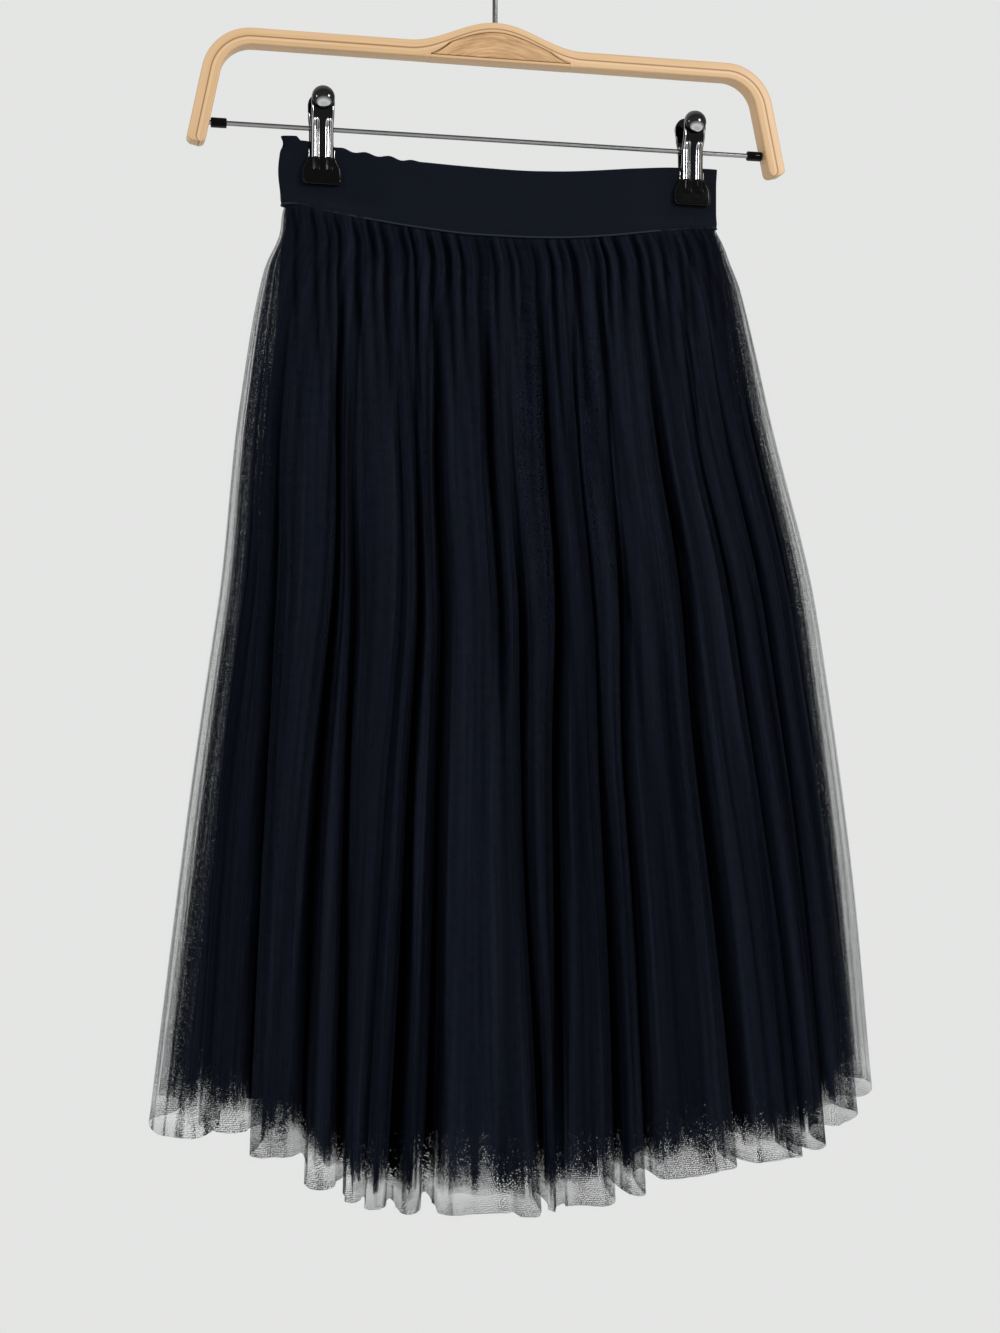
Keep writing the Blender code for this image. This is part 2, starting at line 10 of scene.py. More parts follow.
import bmesh
import bpy
import numpy as np
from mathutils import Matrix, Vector


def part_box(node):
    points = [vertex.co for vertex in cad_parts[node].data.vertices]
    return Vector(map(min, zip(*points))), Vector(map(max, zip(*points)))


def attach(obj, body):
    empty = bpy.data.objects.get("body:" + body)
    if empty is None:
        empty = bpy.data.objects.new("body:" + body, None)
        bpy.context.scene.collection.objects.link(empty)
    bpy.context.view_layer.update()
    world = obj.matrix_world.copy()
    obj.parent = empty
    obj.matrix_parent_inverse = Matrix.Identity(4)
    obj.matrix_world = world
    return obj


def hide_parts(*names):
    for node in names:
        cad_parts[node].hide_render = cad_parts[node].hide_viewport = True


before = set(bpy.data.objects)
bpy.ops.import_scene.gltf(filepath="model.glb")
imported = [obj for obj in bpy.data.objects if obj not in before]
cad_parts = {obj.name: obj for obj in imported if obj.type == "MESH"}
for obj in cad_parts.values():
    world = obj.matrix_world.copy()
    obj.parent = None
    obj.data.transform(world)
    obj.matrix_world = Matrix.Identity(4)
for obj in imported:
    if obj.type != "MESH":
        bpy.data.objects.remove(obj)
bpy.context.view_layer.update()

# Camera: the photo was taken from the left of the skirt's front, level, near mid-height
CAMERA_TURN = math.radians(13)
CAMERA_DISTANCE = 1.37
CAMERA_HEIGHT = -0.528
FOCAL_PIXELS = 1900
FRAME_WIDTH, FRAME_HEIGHT = 1000, 1333
CENTRE_PIXEL = (495, 658)
SENSOR = 36.0

# Sizes shared with the solids
HOOK_WIRE = 0.0037
HOOK_INSIDE_RADIUS = 0.0200
HUMP_TOP = -0.0721
BAR_TOP = -0.0885
ROD_HEIGHT = -0.1546
BOW_DEPTH = 0.0145
BAR_THICKNESS = 0.0116
ARM_THICKNESS = 0.0130
CORNER_START = 0.1745
CORNER_RADIUS = 0.0360
ARM_LEAN = math.radians(12)
ARM_TIP = -0.1680
TIP_ROUND = 0.0036
HUMP_HALF_WIDTH = 0.0640
CORE_CENTRE = 0.0030
CORE_HALF_WIDTH = 0.0500
CORE_STRIP = 0.0026
UPPER_STRIP = 0.0074
HOOK_HOLE_DEPTH = 0.0065
HOOK_NECK = 0.0075
HOOK_SIDESTEP = 0.0075
HOOK_START, HOOK_END = -56, 200
ROD_RADIUS = 0.0017
ROD_HALF_LENGTH = 0.2075
SLEEVE_RADIUS = 0.0035
CLIPS = {"left": -0.1260, "right": 0.1480}
BAND_CENTRE = 0.0070
BAND_HALF_WIDTH = 0.1612
BAND_PINCH = 0.0024
GAP = 0.0003

# Finer sizes of the scene's hard pieces
BOW_EDGE_ROUND = 0.0012
CORE_TIP = 0.0006
CORE_TAPER = 0.014
GLUE_LINE = 0.0060
HUMP_SQUEEZE = 0.24
CORE_TURN = 0.12
CORE_CLEARANCE = 1.25 * GAP
CORE_LEAST = 0.0002
CORE_ROUND = 0.0005
CORNER_STEPS = 18
STRIP_PAST_CORE = 0.0014
STRIP_ROUND = 0.0008
STRIP_GRAIN = 0.0085
LEVER_SHEET = 0.0012
LEVER_HALF_WIDTH = 0.0081
LEVER_FLARE = 0.0024
LEVER_COLUMNS = 81
LEVER_TOP_ROUND = 0.00845
LEVER_LEAST_ROUND = 0.0012
LEVER_WAIST, LEVER_FOOT = -0.0100, -0.0212
LEVER_BEND, LEVER_BEND_WIDTH, LEVER_BEND_DEPTH = 0.0068, 0.0014, 0.0016
LEVER_BEND_TOP = 0.0150
LEVER_INSIDE = 0.0024
LEVER_RIB_TOP = 0.0035
LEVER_PROFILE = [  # height from the rod, distance from the rod's plane
    (0.0277, 0.0105), (0.0225, 0.0105), (0.0105, 0.0105), (0.0000, 0.0060), (-0.0212, 0.0052),
]
PAD_RADIUS = 0.0080
PAD_HEIGHT = 0.0194
PAD_RISE = 0.0056
PAD_RIM = 0.0010
JAW_OUTLINE = [  # height from the rod, half width
    (-0.0216, 0.0098), (-0.0250, 0.0112), (-0.0300, 0.0136), (-0.0370, 0.0140),
    (-0.0394, 0.0131), (-0.0402, 0.0112),
]
JAW_THICKNESS = 0.0048
JAW_SIDE_ROUND, JAW_END_ROUND, JAW_TOP_ROUND = 0.0022, 0.0018, 0.0010
JAW_EDGE_DROP, JAW_EDGE_LIFT, JAW_HOLLOW = 0.0017, 0.0012, 0.0007
JAW_COLUMNS = 45
JAW_RIB_SHARE = 0.8
RIB_END = -0.0300
RIB_PLACE = 0.0046
RIB_HALF_WIDTH = 0.0025
RIB_RISE = 0.0016
SPRING_RADIUS = 0.0050
SPRING_HALF_LENGTH = 0.0060
SPRING_WIRE_RADIUS = 0.0007
SPRING_TURNS = 7

# Painted reflections and highlights: the grey painted on chrome, steel and vinyl by how far the surface
# turns from a direction, standing in for mirrored lamps and a dark room
CHROME_PAINTED_REFLECTIONS = [  # how far the surface turns to a side, grey
    (0.00, 0.012), (0.22, 0.03), (0.34, 0.50), (0.60, 0.68), (0.73, 0.05), (0.92, 0.04), (1.00, 0.26),
]
DOME_PAINTED_REFLECTIONS = [
    (0.00, 0.26), (0.30, 0.10), (0.60, 0.02), (0.83, 0.03), (0.89, 0.28), (0.94, 0.68), (1.00, 0.50),
]
STEEL_PAINTED_REFLECTIONS = [(0.00, 0.04), (0.55, 0.07), (0.80, 0.18), (0.94, 0.38), (1.00, 0.32)]
VINYL_PAINTED_HIGHLIGHTS = [(0.00, 0.002), (0.36, 0.002), (0.47, 0.05), (0.58, 0.01), (0.70, 0.0012), (1.00, 0.0010)]

# Waistband: heights of its edges along x, and how far it stands open
BAND_TOP_EDGE = [
    (-0.1590, -0.1642), (-0.1420, -0.1640), (-0.1130, -0.1680), (-0.0888, -0.1722),
    (-0.0637, -0.1752), (-0.0129, -0.1772), (0.0166, -0.1776), (0.0434, -0.1767),
    (0.1006, -0.1713), (0.1335, -0.1673), (0.1690, -0.1664),
]
BAND_BOTTOM_EDGE = [
    (-0.1590, -0.2100), (-0.1439, -0.2103), (-0.1278, -0.2143), (-0.1038, -0.2180),
    (-0.0631, -0.2232), (-0.0139, -0.2267), (0.0155, -0.2268), (0.0422, -0.2260),
    (0.0826, -0.2224), (0.1236, -0.2164), (0.1690, -0.2106),
]
BAND_ROWS = [0.0, 0.35, 0.70, 1.0]
BAND_OPEN = [0.0080, 0.0092, 0.0108, 0.0123]
BAND_END_OPEN = [0.0042, 0.0048, 0.0065, 0.0110]
BAND_WALL = 0.0016
BAND_ROUND = 0.65
RIB_STEP = 0.0011
SEAM_WAY = 0.955
SEAM_LINE = 0.985
BAND_TALL = 0.049
END_DENT, END_BULGE, END_START = 0.0022, 0.0022, (0.1450, 0.1542)
RUFFLE_DEPTH, RUFFLE_STEP, RUFFLE_FROM, RUFFLE_TO = 0.0009, 0.0165, (-0.125, -0.105), (-0.07, -0.05)
CORNER_BUMP, BUMP_FROM, BUMP_TO = 0.0030, (-0.1560, -0.1535), (-0.1440, -0.1405)
EDGE_ROLL, SEAM_DIP = 0.0006, 0.0007
BAND_BLUNTNESS = 14
CLIP_GRIP = 0.0155
BAND_RELEASE = 0.0350
SEAM_GRIP = 0.15

# The skirt's body by way down: half width, front and back depth, centre, bluntness of the ends
BODY = [
    (0.000, 0.1600, 0.0120, 0.0120, 0.0070, 16.0),
    (0.035, 0.1648, 0.0170, 0.0160, 0.0105, 12.0),
    (0.070, 0.1732, 0.0215, 0.0200, 0.0100, 9.0),
    (0.220, 0.1900, 0.0370, 0.0300, 0.0128, 5.5),
    (0.450, 0.2122, 0.0610, 0.0430, 0.0225, 3.8),
    (0.720, 0.2325, 0.0880, 0.0580, 0.0220, 3.0),
    (1.000, 0.2485, 0.1100, 0.0720, 0.0190, 2.6),
]
FOLD_GROWTH = 0.72
GROOVE_DEPTH = [(0.0, 0.0), (0.06, 0.0030), (0.12, 0.0080), (0.30, 0.0215), (0.60, 0.034), (1.0, 0.040)]
VALLEY_WAYS = (0.0, 0.3, 0.6, 1.0)
STRENGTH_WAYS = (0.0, 0.25, 0.55, 1.0)
HEM_TUCK = 0.003

# Each panel of net between two valleys: the valley at its left at four ways down (shares), how
# strong that valley is at four ways down, its half width, the panel's rise, how far its left and
# right edges fall, the shares of its width where they fall, height of its hem
PANELS = [
    ((-0.024, -0.021, -0.019, -0.017), (0.3, 0.4, 0.4, 0.5), 0.0030, 0.017, (0.002, 0.004), (0.2, 0.3),
     -0.8500),
    ((0.036, 0.058, 0.068, 0.096), (0.3, 0.3, 0.5, 0.6), 0.0020, 0.018, (0.001, 0.003), (0.2, 0.3), -0.8380),
    ((0.072, 0.092, 0.124, 0.156), (0.3, 0.4, 1.0, 0.8), 0.0040, 0.020, (0.001, 0.004), (0.1, 0.4), -0.8530),
    ((0.150, 0.185, 0.191, 0.214), (0.6, 0.9, 0.9, 0.4), 0.0040, 0.018, (0.003, 0.002), (0.3, 0.3), -0.8720),
    ((0.192, 0.209, 0.230, 0.256), (0.2, 0.3, 1.0, 0.8), 0.0032, 0.022, (0.001, 0.005), (0.1, 0.3), -0.8790),
    ((0.258, 0.284, 0.277, 0.281), (0.5, 0.4, 0.2, 0.2), 0.0016, 0.021, (0.002, 0.001), (0.3, 0.2), -0.8850),
    ((0.296, 0.312, 0.308, 0.309), (0.3, 0.5, 1.0, 0.6), 0.0056, 0.015, (0.003, 0.004), (0.4, 0.4), -0.8900),
    ((0.351, 0.344, 0.344, 0.349), (0.5, 0.8, 1.0, 1.0), 0.0052, 0.024, (0.001, 0.000), (0.1, 0.4), -0.8880),
    ((0.446, 0.434, 0.424, 0.438), (0.6, 1.0, 0.1, 0.0), 0.0050, 0.023, (0.000, 0.002), (0.2, 0.2), -0.8920),
    ((0.490, 0.466, 0.456, 0.478), (0.1, 0.1, 0.9, 1.0), 0.0050, 0.022, (0.002, 0.002), (0.2, 0.3), -0.8900),
    ((0.560, 0.533, 0.504, 0.493), (0.7, 1.0, 0.9, 0.1), 0.0058, 0.021, (0.002, 0.002), (0.3, 0.2), -0.8890),
    ((0.624, 0.582, 0.563, 0.562), (0.5, 0.9, 1.0, 1.0), 0.0046, 0.020, (0.002, 0.000), (0.3, 0.2), -0.8840),
    ((0.682, 0.633, 0.598, 0.596), (0.2, 0.2, 0.9, 0.9), 0.0046, 0.025, (0.001, 0.003), (0.1, 0.3), -0.8730),
    ((0.765, 0.728, 0.706, 0.712), (0.4, 0.6, 1.0, 1.0), 0.0060, 0.022, (0.004, 0.002), (0.4, 0.2), -0.8720),
    ((0.835, 0.796, 0.788, 0.791), (0.4, 0.4, 0.8, 0.8), 0.0040, 0.020, (0.002, 0.003), (0.2, 0.4), -0.8690),
    ((0.890, 0.850, 0.838, 0.832), (0.2, 0.3, 0.4, 0.5), 0.0022, 0.019, (0.001, 0.003), (0.2, 0.3), -0.8540),
    ((0.942, 0.905, 0.890, 0.898), (0.3, 0.4, 0.5, 0.6), 0.0030, 0.017, (0.003, 0.004), (0.3, 0.3), -0.8450),
    ((1.020, 1.012, 1.004, 1.000), (0.3, 0.4, 0.5, 0.5), 0.0030, 0.017, (0.003, 0.003), (0.3, 0.3), -0.8300),
    ((1.090, 1.074, 1.066, 1.070), (0.4, 0.6, 0.9, 0.7), 0.0044, 0.020, (0.002, 0.004), (0.2, 0.4), -0.8480),
    ((1.178, 1.170, 1.156, 1.140), (0.6, 0.9, 0.8, 0.6), 0.0036, 0.021, (0.001, 0.002), (0.2, 0.2), -0.8560),
    ((1.262, 1.240, 1.244, 1.252), (0.3, 0.4, 0.9, 1.0), 0.0050, 0.022, (0.002, 0.001), (0.3, 0.2), -0.8620),
    ((1.330, 1.338, 1.322, 1.316), (0.5, 1.0, 0.9, 0.3), 0.0044, 0.019, (0.002, 0.003), (0.2, 0.3), -0.8650),
    ((1.440, 1.428, 1.432, 1.420), (0.3, 0.3, 0.8, 1.0), 0.0048, 0.023, (0.001, 0.002), (0.1, 0.3), -0.8640),
    ((1.522, 1.530, 1.512, 1.506), (0.6, 0.9, 0.7, 0.4), 0.0040, 0.020, (0.003, 0.001), (0.3, 0.2), -0.8670),
    ((1.622, 1.606, 1.612, 1.600), (0.4, 0.5, 1.0, 0.9), 0.0052, 0.022, (0.001, 0.003), (0.2, 0.4), -0.8620),
    ((1.706, 1.712, 1.696, 1.702), (0.5, 0.8, 0.6, 0.7), 0.0034, 0.020, (0.002, 0.002), (0.2, 0.2), -0.8580),
    ((1.804, 1.796, 1.800, 1.786), (0.3, 0.4, 0.9, 0.9), 0.0046, 0.020, (0.001, 0.003), (0.2, 0.3), -0.8520),
    ((1.892, 1.898, 1.886, 1.888), (0.4, 0.6, 0.6, 0.5), 0.0034, 0.017, (0.003, 0.003), (0.3, 0.3), -0.8340),
]

# Net layers, outermost first: inset, more of it at the sides, share of the rise kept, how much
# wider its valleys are, hem lift and how far it varies, columns, rows, width of the flat cloth,
# share of the net that is thread, how much denser it is at the sides (sheerer below 0), length over
# which it thins out towards the hem and to what share, how uneven its cells are, seed
LAYERS = {
    "outer_net": dict(node="tulle_outer", inset=0.0, side=0.0, kept=1.0, widen=0.0, lift=0.0,
                      vary=0.002, columns=1360, rows=69, flat=3.10, thread=0.34, at_sides=-0.44,
                      fade=0.030, thinnest=0.5, speck=0.35, seed=11),
    "middle_net": dict(node="tulle_middle", inset=0.0024, side=0.0050, kept=0.72, widen=0.0022,
                       lift=0.006, vary=0.007, columns=1180, rows=61, flat=2.75, thread=0.74,
                       at_sides=-0.80, fade=0.030, thinnest=0.10, speck=0.60, seed=23),
    "inner_net": dict(node="tulle_inner", inset=0.0048, side=0.0220, kept=0.44, widen=0.0044,
                      lift=0.011, vary=0.007, columns=1060, rows=57, flat=2.40, thread=0.985,
                      at_sides=-0.86, fade=0.026, thinnest=0.12, speck=0.42, seed=37),
}

# Gathers, creases and streaks of the net
GATHERED = 1.8
NET_CELL = 0.0013
PANEL_KNOTS = 7
DENSE = 16
GATHER_SEED = 3
GATHERS = [(62, 0.0062, 0.30), (150, 0.0012, 0.10)]
SIDE_REACH = [(0.0, 0.0), (0.15, 0.2), (0.35, 0.5), (0.70, 1.0), (1.0, 0.9)]
GATHER_FAN = 0.1
# Painted shade in the grooves of ripples, and the ripple height at which it is full
GROOVE_SHADE, RIPPLE_FULL = 0.6, 0.0022
SEAM_TUCK = 0.0014
SEAM_OVERLAP = 0.0022
RAW_EDGE = 0.0018
# Painted highlight on the crests of ripples
RIDGE_LIGHT = 0.30
# Random streaks of darker tone, over a base level of painted shade that the ridge highlight lightens
STREAK_SEED, STREAK_SHADE, STREAK_DRIFT, STREAK_COUNTS = 5, 0.32, 0.0012, (150, 330, 700)
RAW_DARK = 1.6
PLEAT_COUNT, PLEAT_FROM, PLEAT_DARK, PLEAT_SIDE = 700, 0.4, 1.8, 1.2
UNEVEN, UNEVEN_COUNTS = 0.14, (60, 170, 400)
FADE_COUNTS, LEAST_FADE = (60, 150, 500), 0.12
SIDE_CALM = 0.85
SIDE_TUCKED, SIDE_SHEER = (0.80, 0.97), (0.60, 0.86)
# Groove depth at which the painted shade in a groove is full
FULL_SHADE_DEPTH = 0.016

# Lining: height, half width, front and back depth, centre, bluntness
LINING = [
    (-0.2200, 0.1540, 0.0070, 0.0070, 0.0070, 30.0),
    (-0.2600, 0.1645, 0.0085, 0.0080, 0.0095, 12.0),
    (-0.3600, 0.1700, 0.0160, 0.0125, 0.0130, 10.0),
    (-0.5000, 0.1830, 0.0290, 0.0190, 0.0200, 5.0),
    (-0.8600, 0.1960, 0.0600, 0.0325, 0.0220, 3.0),
]
LINING_WAVES = [(9, 0.0042, 0.7), (17, 0.0026, 2.1)]  # waves round both halves, depth at the hem, start
LINING_SAG = 1.3
LINING_OVERLAP = 0.002
LINING_ROUND = 1.05


# Numbers along curves


def eased(at, knots, values):
    """A smooth curve through the values that never overshoots them."""
    at, knots, values = (np.asarray(given, float) for given in (at, knots, values))
    gap = np.diff(knots)
    rise = np.diff(values) / gap
    slope = np.zeros_like(values)
    before, after = rise[:-1], rise[1:]
    same = before * after > 0
    slope[1:-1][same] = 2 * before[same] * after[same] / (before[same] + after[same])
    slope[0], slope[-1] = rise[0], rise[-1]
    i = np.clip(np.searchsorted(knots, at) - 1, 0, len(gap) - 1)
    t = np.clip((at - knots[i]) / gap[i], 0.0, 1.0)
    t2, t3 = t * t, t * t * t
    return ((2 * t3 - 3 * t2 + 1) * values[i] + (t3 - 2 * t2 + t) * gap[i] * slope[i]
            + (3 * t2 - 2 * t3) * values[i + 1] + (t3 - t2) * gap[i] * slope[i + 1])


def step(x, start, end):
    t = np.clip((np.asarray(x, float) - start) / (end - start), 0.0, 1.0)
    return t * t * (3 - 2 * t)


def at_all(way, ways, columns):
    """Each column of values at one way down."""
    return [float(eased(way, ways, column)) for column in columns]


def blurred(values, width):
    """The closed row of values, blurred round its loop."""
    reach = int(3 * width) + 1
    kernel = np.exp(-0.5 * (np.arange(-reach, reach + 1) / width) ** 2)
    kernel /= kernel.sum()
    wide = np.concatenate([values[-reach:], values, values[:reach]])
    return np.convolve(wide, kernel, mode="valid")


def flattened_ring(half_width, front, back, centre, bluntness, samples=900):
    """x, y round a flattened ring from its left end by the front, and the share at each point."""
    across = -np.cos(np.linspace(0.0, math.pi, samples))
    deep = np.sqrt(np.maximum(1 - np.abs(across) ** bluntness, 0.0))
    x_front = centre + half_width * across
    x = np.concatenate([x_front, x_front[::-1][1:]])
    y = np.concatenate([-front * deep, back * deep[::-1][1:]])
    run = np.concatenate([[0.0], np.cumsum(np.hypot(np.diff(x), np.diff(y)))])
    middle = run[samples - 1]
    share = np.where(run <= middle, run / middle, 1 + (run - middle) / (run[-1] - middle))
    return x, y, share, run[-1]


def ring_at(ring, shares):
    """Points and outward normals of the ring at the given shares."""
    x, y, share, _ = ring
    near = 0.002

    def spot(s):
        s = np.mod(s, 2.0)
        return np.stack([np.interp(s, share, x), np.interp(s, share, y)], axis=1)

    points = spot(shares)
    along = spot(shares + near) - spot(shares - near)
    along /= np.linalg.norm(along, axis=1, keepdims=True)
    return points, np.stack([along[:, 1], -along[:, 0]], axis=1)


def outward_normals(points):
    along = np.roll(points, -1, axis=0) - np.roll(points, 1, axis=0)
    along /= np.maximum(np.linalg.norm(along, axis=1, keepdims=True), 1e-9)
    return np.stack([along[:, 1], -along[:, 0]], axis=1)


def body_at(way):
    ways, *columns = zip(*BODY)
    return at_all(way, ways, columns)


# Meshes


def grid_mesh(name, points, uv, values_of=None, folded_back=False):
    """A smooth ring of cloth from points (rows, columns, 3), closed over its rows where folded back.

    Its uv has one more column, and one more row where it is folded back.
    """
    rows, columns, _ = points.shape
    r, c = np.indices((rows if folded_back else rows - 1, columns)).reshape(2, -1)
    corners = np.stack([r, r + 1, r + 1, r], axis=1), np.stack([c, c, c + 1, c + 1], axis=1)
    vertices = corners[0] % rows * columns + corners[1] % columns
    mesh = bpy.data.meshes.new(name)
    mesh.vertices.add(rows * columns)
    mesh.vertices.foreach_set("co", points.reshape(-1).astype(np.float32))
    mesh.loops.add(vertices.size)
    mesh.loops.foreach_set("vertex_index", vertices.reshape(-1).astype(np.int32))
    mesh.polygons.add(len(vertices))
    mesh.polygons.foreach_set("loop_start", np.arange(0, vertices.size, 4, dtype=np.int32))
    mesh.update(calc_edges=True)
    layer = mesh.uv_layers.new(name="Cloth")
    layer.data.foreach_set("uv", uv[corners[0], corners[1]].reshape(-1).astype(np.float32))
    for key, values in (values_of or {}).items():
        made = mesh.attributes.new(key, "FLOAT", "POINT")
        made.data.foreach_set("value", values.reshape(-1).astype(np.float32))
    mesh.shade_smooth()
    return mesh


def piece(name, mesh, finish, slot, *nodes):
    """Adds a piece to the skirt's body, in place of the named solids."""
    made = bpy.data.objects.new(name, mesh)
    bpy.context.scene.collection.objects.link(made)
    mesh.materials.append(finish)
    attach(made, "root")
    if nodes:
        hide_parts(*nodes)
    return made


# Materials


def nodes_of(name):
    made = bpy.data.materials.new(name)
    made.use_nodes = True
    tree = made.node_tree
    return made, tree, tree.nodes["Principled BSDF"]


def fill(tree, node, inputs):
    """Links or sets inputs of a node."""
    for key, value in inputs.items():
        if isinstance(value, bpy.types.NodeSocket):
            tree.links.new(value, node.inputs[key])
        else:
            node.inputs[key].default_value = value


def add(tree, kind, inputs=None, **settings):
    """A new node with its settings, and its inputs linked or set."""
    made = tree.nodes.new("ShaderNode" + kind)
    for key, value in settings.items():
        setattr(made, key, value)
    fill(tree, made, inputs or {})
    return made


def maths(tree, operation, a, b=None, c=None):
    values = {i: value for i, value in enumerate((a, b, c)) if value is not None}
    return add(tree, "Math", values, operation=operation).outputs[0]


def weighted(tree, *parts):
    """The sum of values, each times its own share."""
    total = 0.0
    for value, share in parts:
        total = maths(tree, "MULTIPLY_ADD", value, share, total)
    return total


def vector_maths(tree, operation, *vectors):
    return add(tree, "VectorMath", dict(enumerate(vectors)), operation=operation).outputs[0]


def remap(tree, value, low, high, to_low, to_high, smooth=False):
    settings = {"interpolation_type": "SMOOTHSTEP"} if smooth else {}
    made = add(tree, "MapRange", {"Value": value, "From Min": low, "From Max": high,
                                  "To Min": to_low, "To Max": to_high}, **settings)
    return made.outputs["Result"]


def on_line(tree, value, place, inner, outer, strength=1.0):
    """`strength` where the value is near a place, falling to 0 at the outer distance from it."""
    away = maths(tree, "ABSOLUTE", maths(tree, "SUBTRACT", value, place))
    return remap(tree, away, inner, outer, strength, 0.0, True)


def blend(tree, share, first, second):
    """A colour between two, by a share. Each is a socket, or red, green and blue."""
    first, second = (end if isinstance(end, bpy.types.NodeSocket) else (*end, 1.0)
                     for end in (first, second))
    return add(tree, "Mix", {0: share, 6: first, 7: second}, data_type="RGBA").outputs[2]


def ramped(tree, share, stops):
    """A colour along stops of place, red, green and blue."""
    made = add(tree, "ValToRGB", {"Fac": share})
    elements = made.color_ramp.elements
    while len(elements) < len(stops):
        elements.new(0.5)
    for element, (place, *color) in zip(elements, stops):
        element.position = place
        element.color = (*color, 1.0)
    return made.outputs[0]


def field(tree, name, output="Fac"):
    return add(tree, "Attribute", attribute_name=name).outputs[output]


def cloth_uv(tree):
    return add(tree, "UVMap", uv_map="Cloth").outputs["UV"]


def object_places(tree):
    return add(tree, "TexCoord").outputs["Object"]


def stretch(tree, vector, scale, turn=0.0):
    return add(tree, "Mapping", {"Vector": vector, "Scale": scale, "Rotation": (0.0, turn, 0.0)}).outputs[0]


def noise(tree, vector, scale=1.0, detail=2.0, roughness=0.5, flat=False, output="Fac"):
    """Noise over a vector, in two dimensions where it is flat."""
    inputs = {"Vector": vector, "Scale": scale, "Detail": detail, "Roughness": roughness}
    return add(tree, "TexNoise", inputs, noise_dimensions="2D" if flat else "3D").outputs[output]


def relief(tree, height, strength, distance):
    return add(tree, "Bump", {"Height": height, "Strength": strength, "Distance": distance}).outputs[0]


def net_finish(name, thread, speck, seed):
    """Sheer net: threads between open cells, uneven like a soft tulle, with painted shade in its folds."""
    made, tree, shader = nodes_of(name)
    moved = vector_maths(tree, "ADD", cloth_uv(tree), (0.37 * seed, 0.21 * seed, 0.0))
    bend = noise(tree, moved, 110.0, 1.0, flat=True, output="Color")
    away = vector_maths(tree, "SUBTRACT", bend, (0.5, 0.5, 0.5))
    warped = vector_maths(tree, "MULTIPLY_ADD", away, (NET_CELL, NET_CELL, 0.0), moved)
    cells = add(tree, "TexVoronoi", {"Vector": warped, "Scale": 1 / NET_CELL, "Randomness": 0.7},
                voronoi_dimensions="2D", feature="DISTANCE_TO_EDGE").outputs["Distance"]
    specks = noise(tree, stretch(tree, moved, (1000.0, 560.0, 1.0)), flat=True)
    uneven = remap(tree, specks, 0.35, 0.65, 1 - speck, 1 + speck)
    half = 0.5 * (1 - math.sqrt(1 - thread))
    width = maths(tree, "MULTIPLY", maths(tree, "MULTIPLY", uneven, field(tree, "dense")), half)
    inner, outer = (maths(tree, "MULTIPLY", width, part) for part in (0.8, 1.2))
    patches = noise(tree, moved, 190.0, roughness=0.6, flat=True)
    loop = field(tree, "loop", "Vector")
    lines = noise(tree, stretch(tree, loop, (260.0, 260.0, 4.0)), roughness=0.65)
    bands = noise(tree, stretch(tree, loop, (70.0, 70.0, 2.2)))
    mixed = weighted(tree, (bands, 0.35), (lines, 0.45), (patches, 0.2))
    lights = remap(tree, mixed, 0.36, 0.64, 0.0, 1.0)
    tone = blend(tree, lights, (0.0022, 0.0034, 0.0078), (0.0136, 0.0172, 0.0282))
    # The near-black colour is painted shade in the grooves and creases of the folds; ridges get less of it,
    # a painted highlight.
    fill(tree, shader, {
        "Alpha": remap(tree, cells, inner, outer, 1.0, 0.0),
        "Base Color": blend(tree, field(tree, "shade"), tone, (0.0005, 0.0007, 0.0024)),
        "Roughness": 0.62, "Specular IOR Level": 0.02})
    return made


def lining_finish():
    made, tree, shader = nodes_of("Navy lining cloth")
    weave = noise(tree, stretch(tree, cloth_uv(tree), (900.0, 60.0, 1.0)), flat=True)
    fill(tree, shader, {
        "Base Color": blend(tree, weave, (0.0035, 0.0045, 0.0080), (0.0060, 0.0078, 0.0125)),
        "Normal": relief(tree, weave, 0.2, 0.0002), "Roughness": 0.55, "Specular IOR Level": 0.15})
    return made


def elastic_finish():
    made, tree, shader = nodes_of("Navy ribbed elastic")
    cloth = cloth_uv(tree)
    ribs = add(tree, "TexWave", {"Vector": cloth, "Scale": 0.5 / RIB_STEP, "Distortion": 0.4,
                                 "Detail": 1.0, "Detail Scale": 2.0},
               wave_type="BANDS", bands_direction="Y").outputs["Fac"]
    mixed = weighted(tree, (noise(tree, cloth, 900.0, 3.0, flat=True), 0.5), (ribs, 0.5))
    tone = blend(tree, mixed, (0.0014, 0.0024, 0.0054), (0.0036, 0.0054, 0.0106))
    down = add(tree, "SeparateXYZ", {0: cloth}).outputs[1]
    seam = on_line(tree, down, SEAM_LINE * BAND_TALL, 0.0003, 0.0009, 0.6)
    fill(tree, shader, {
        "Base Color": blend(tree, seam, tone, (0.028, 0.034, 0.046)),
        "Normal": relief(tree, mixed, 0.5, 0.0003),
        "Roughness": 0.8, "Specular IOR Level": 0.06, "Sheen Weight": 0.02})
    return made


def plain_finish(name, color, roughness, metallic=0.0, grain=300.0, wear=0.15):
    """A hard finish whose colour and gloss vary a little over the surface."""
    made, tree, shader = nodes_of(name)
    marks = noise(tree, object_places(tree), grain, 4.0, 0.6)
    darker = tuple((1 - wear) * part for part in color)
    fill(tree, shader, {
        "Base Color": blend(tree, marks, darker, color),
        "Roughness": remap(tree, marks, 0.3, 0.7, roughness * 0.8, roughness * 1.25),
        "Metallic": metallic, "Specular IOR Level": 0.5})
    return made


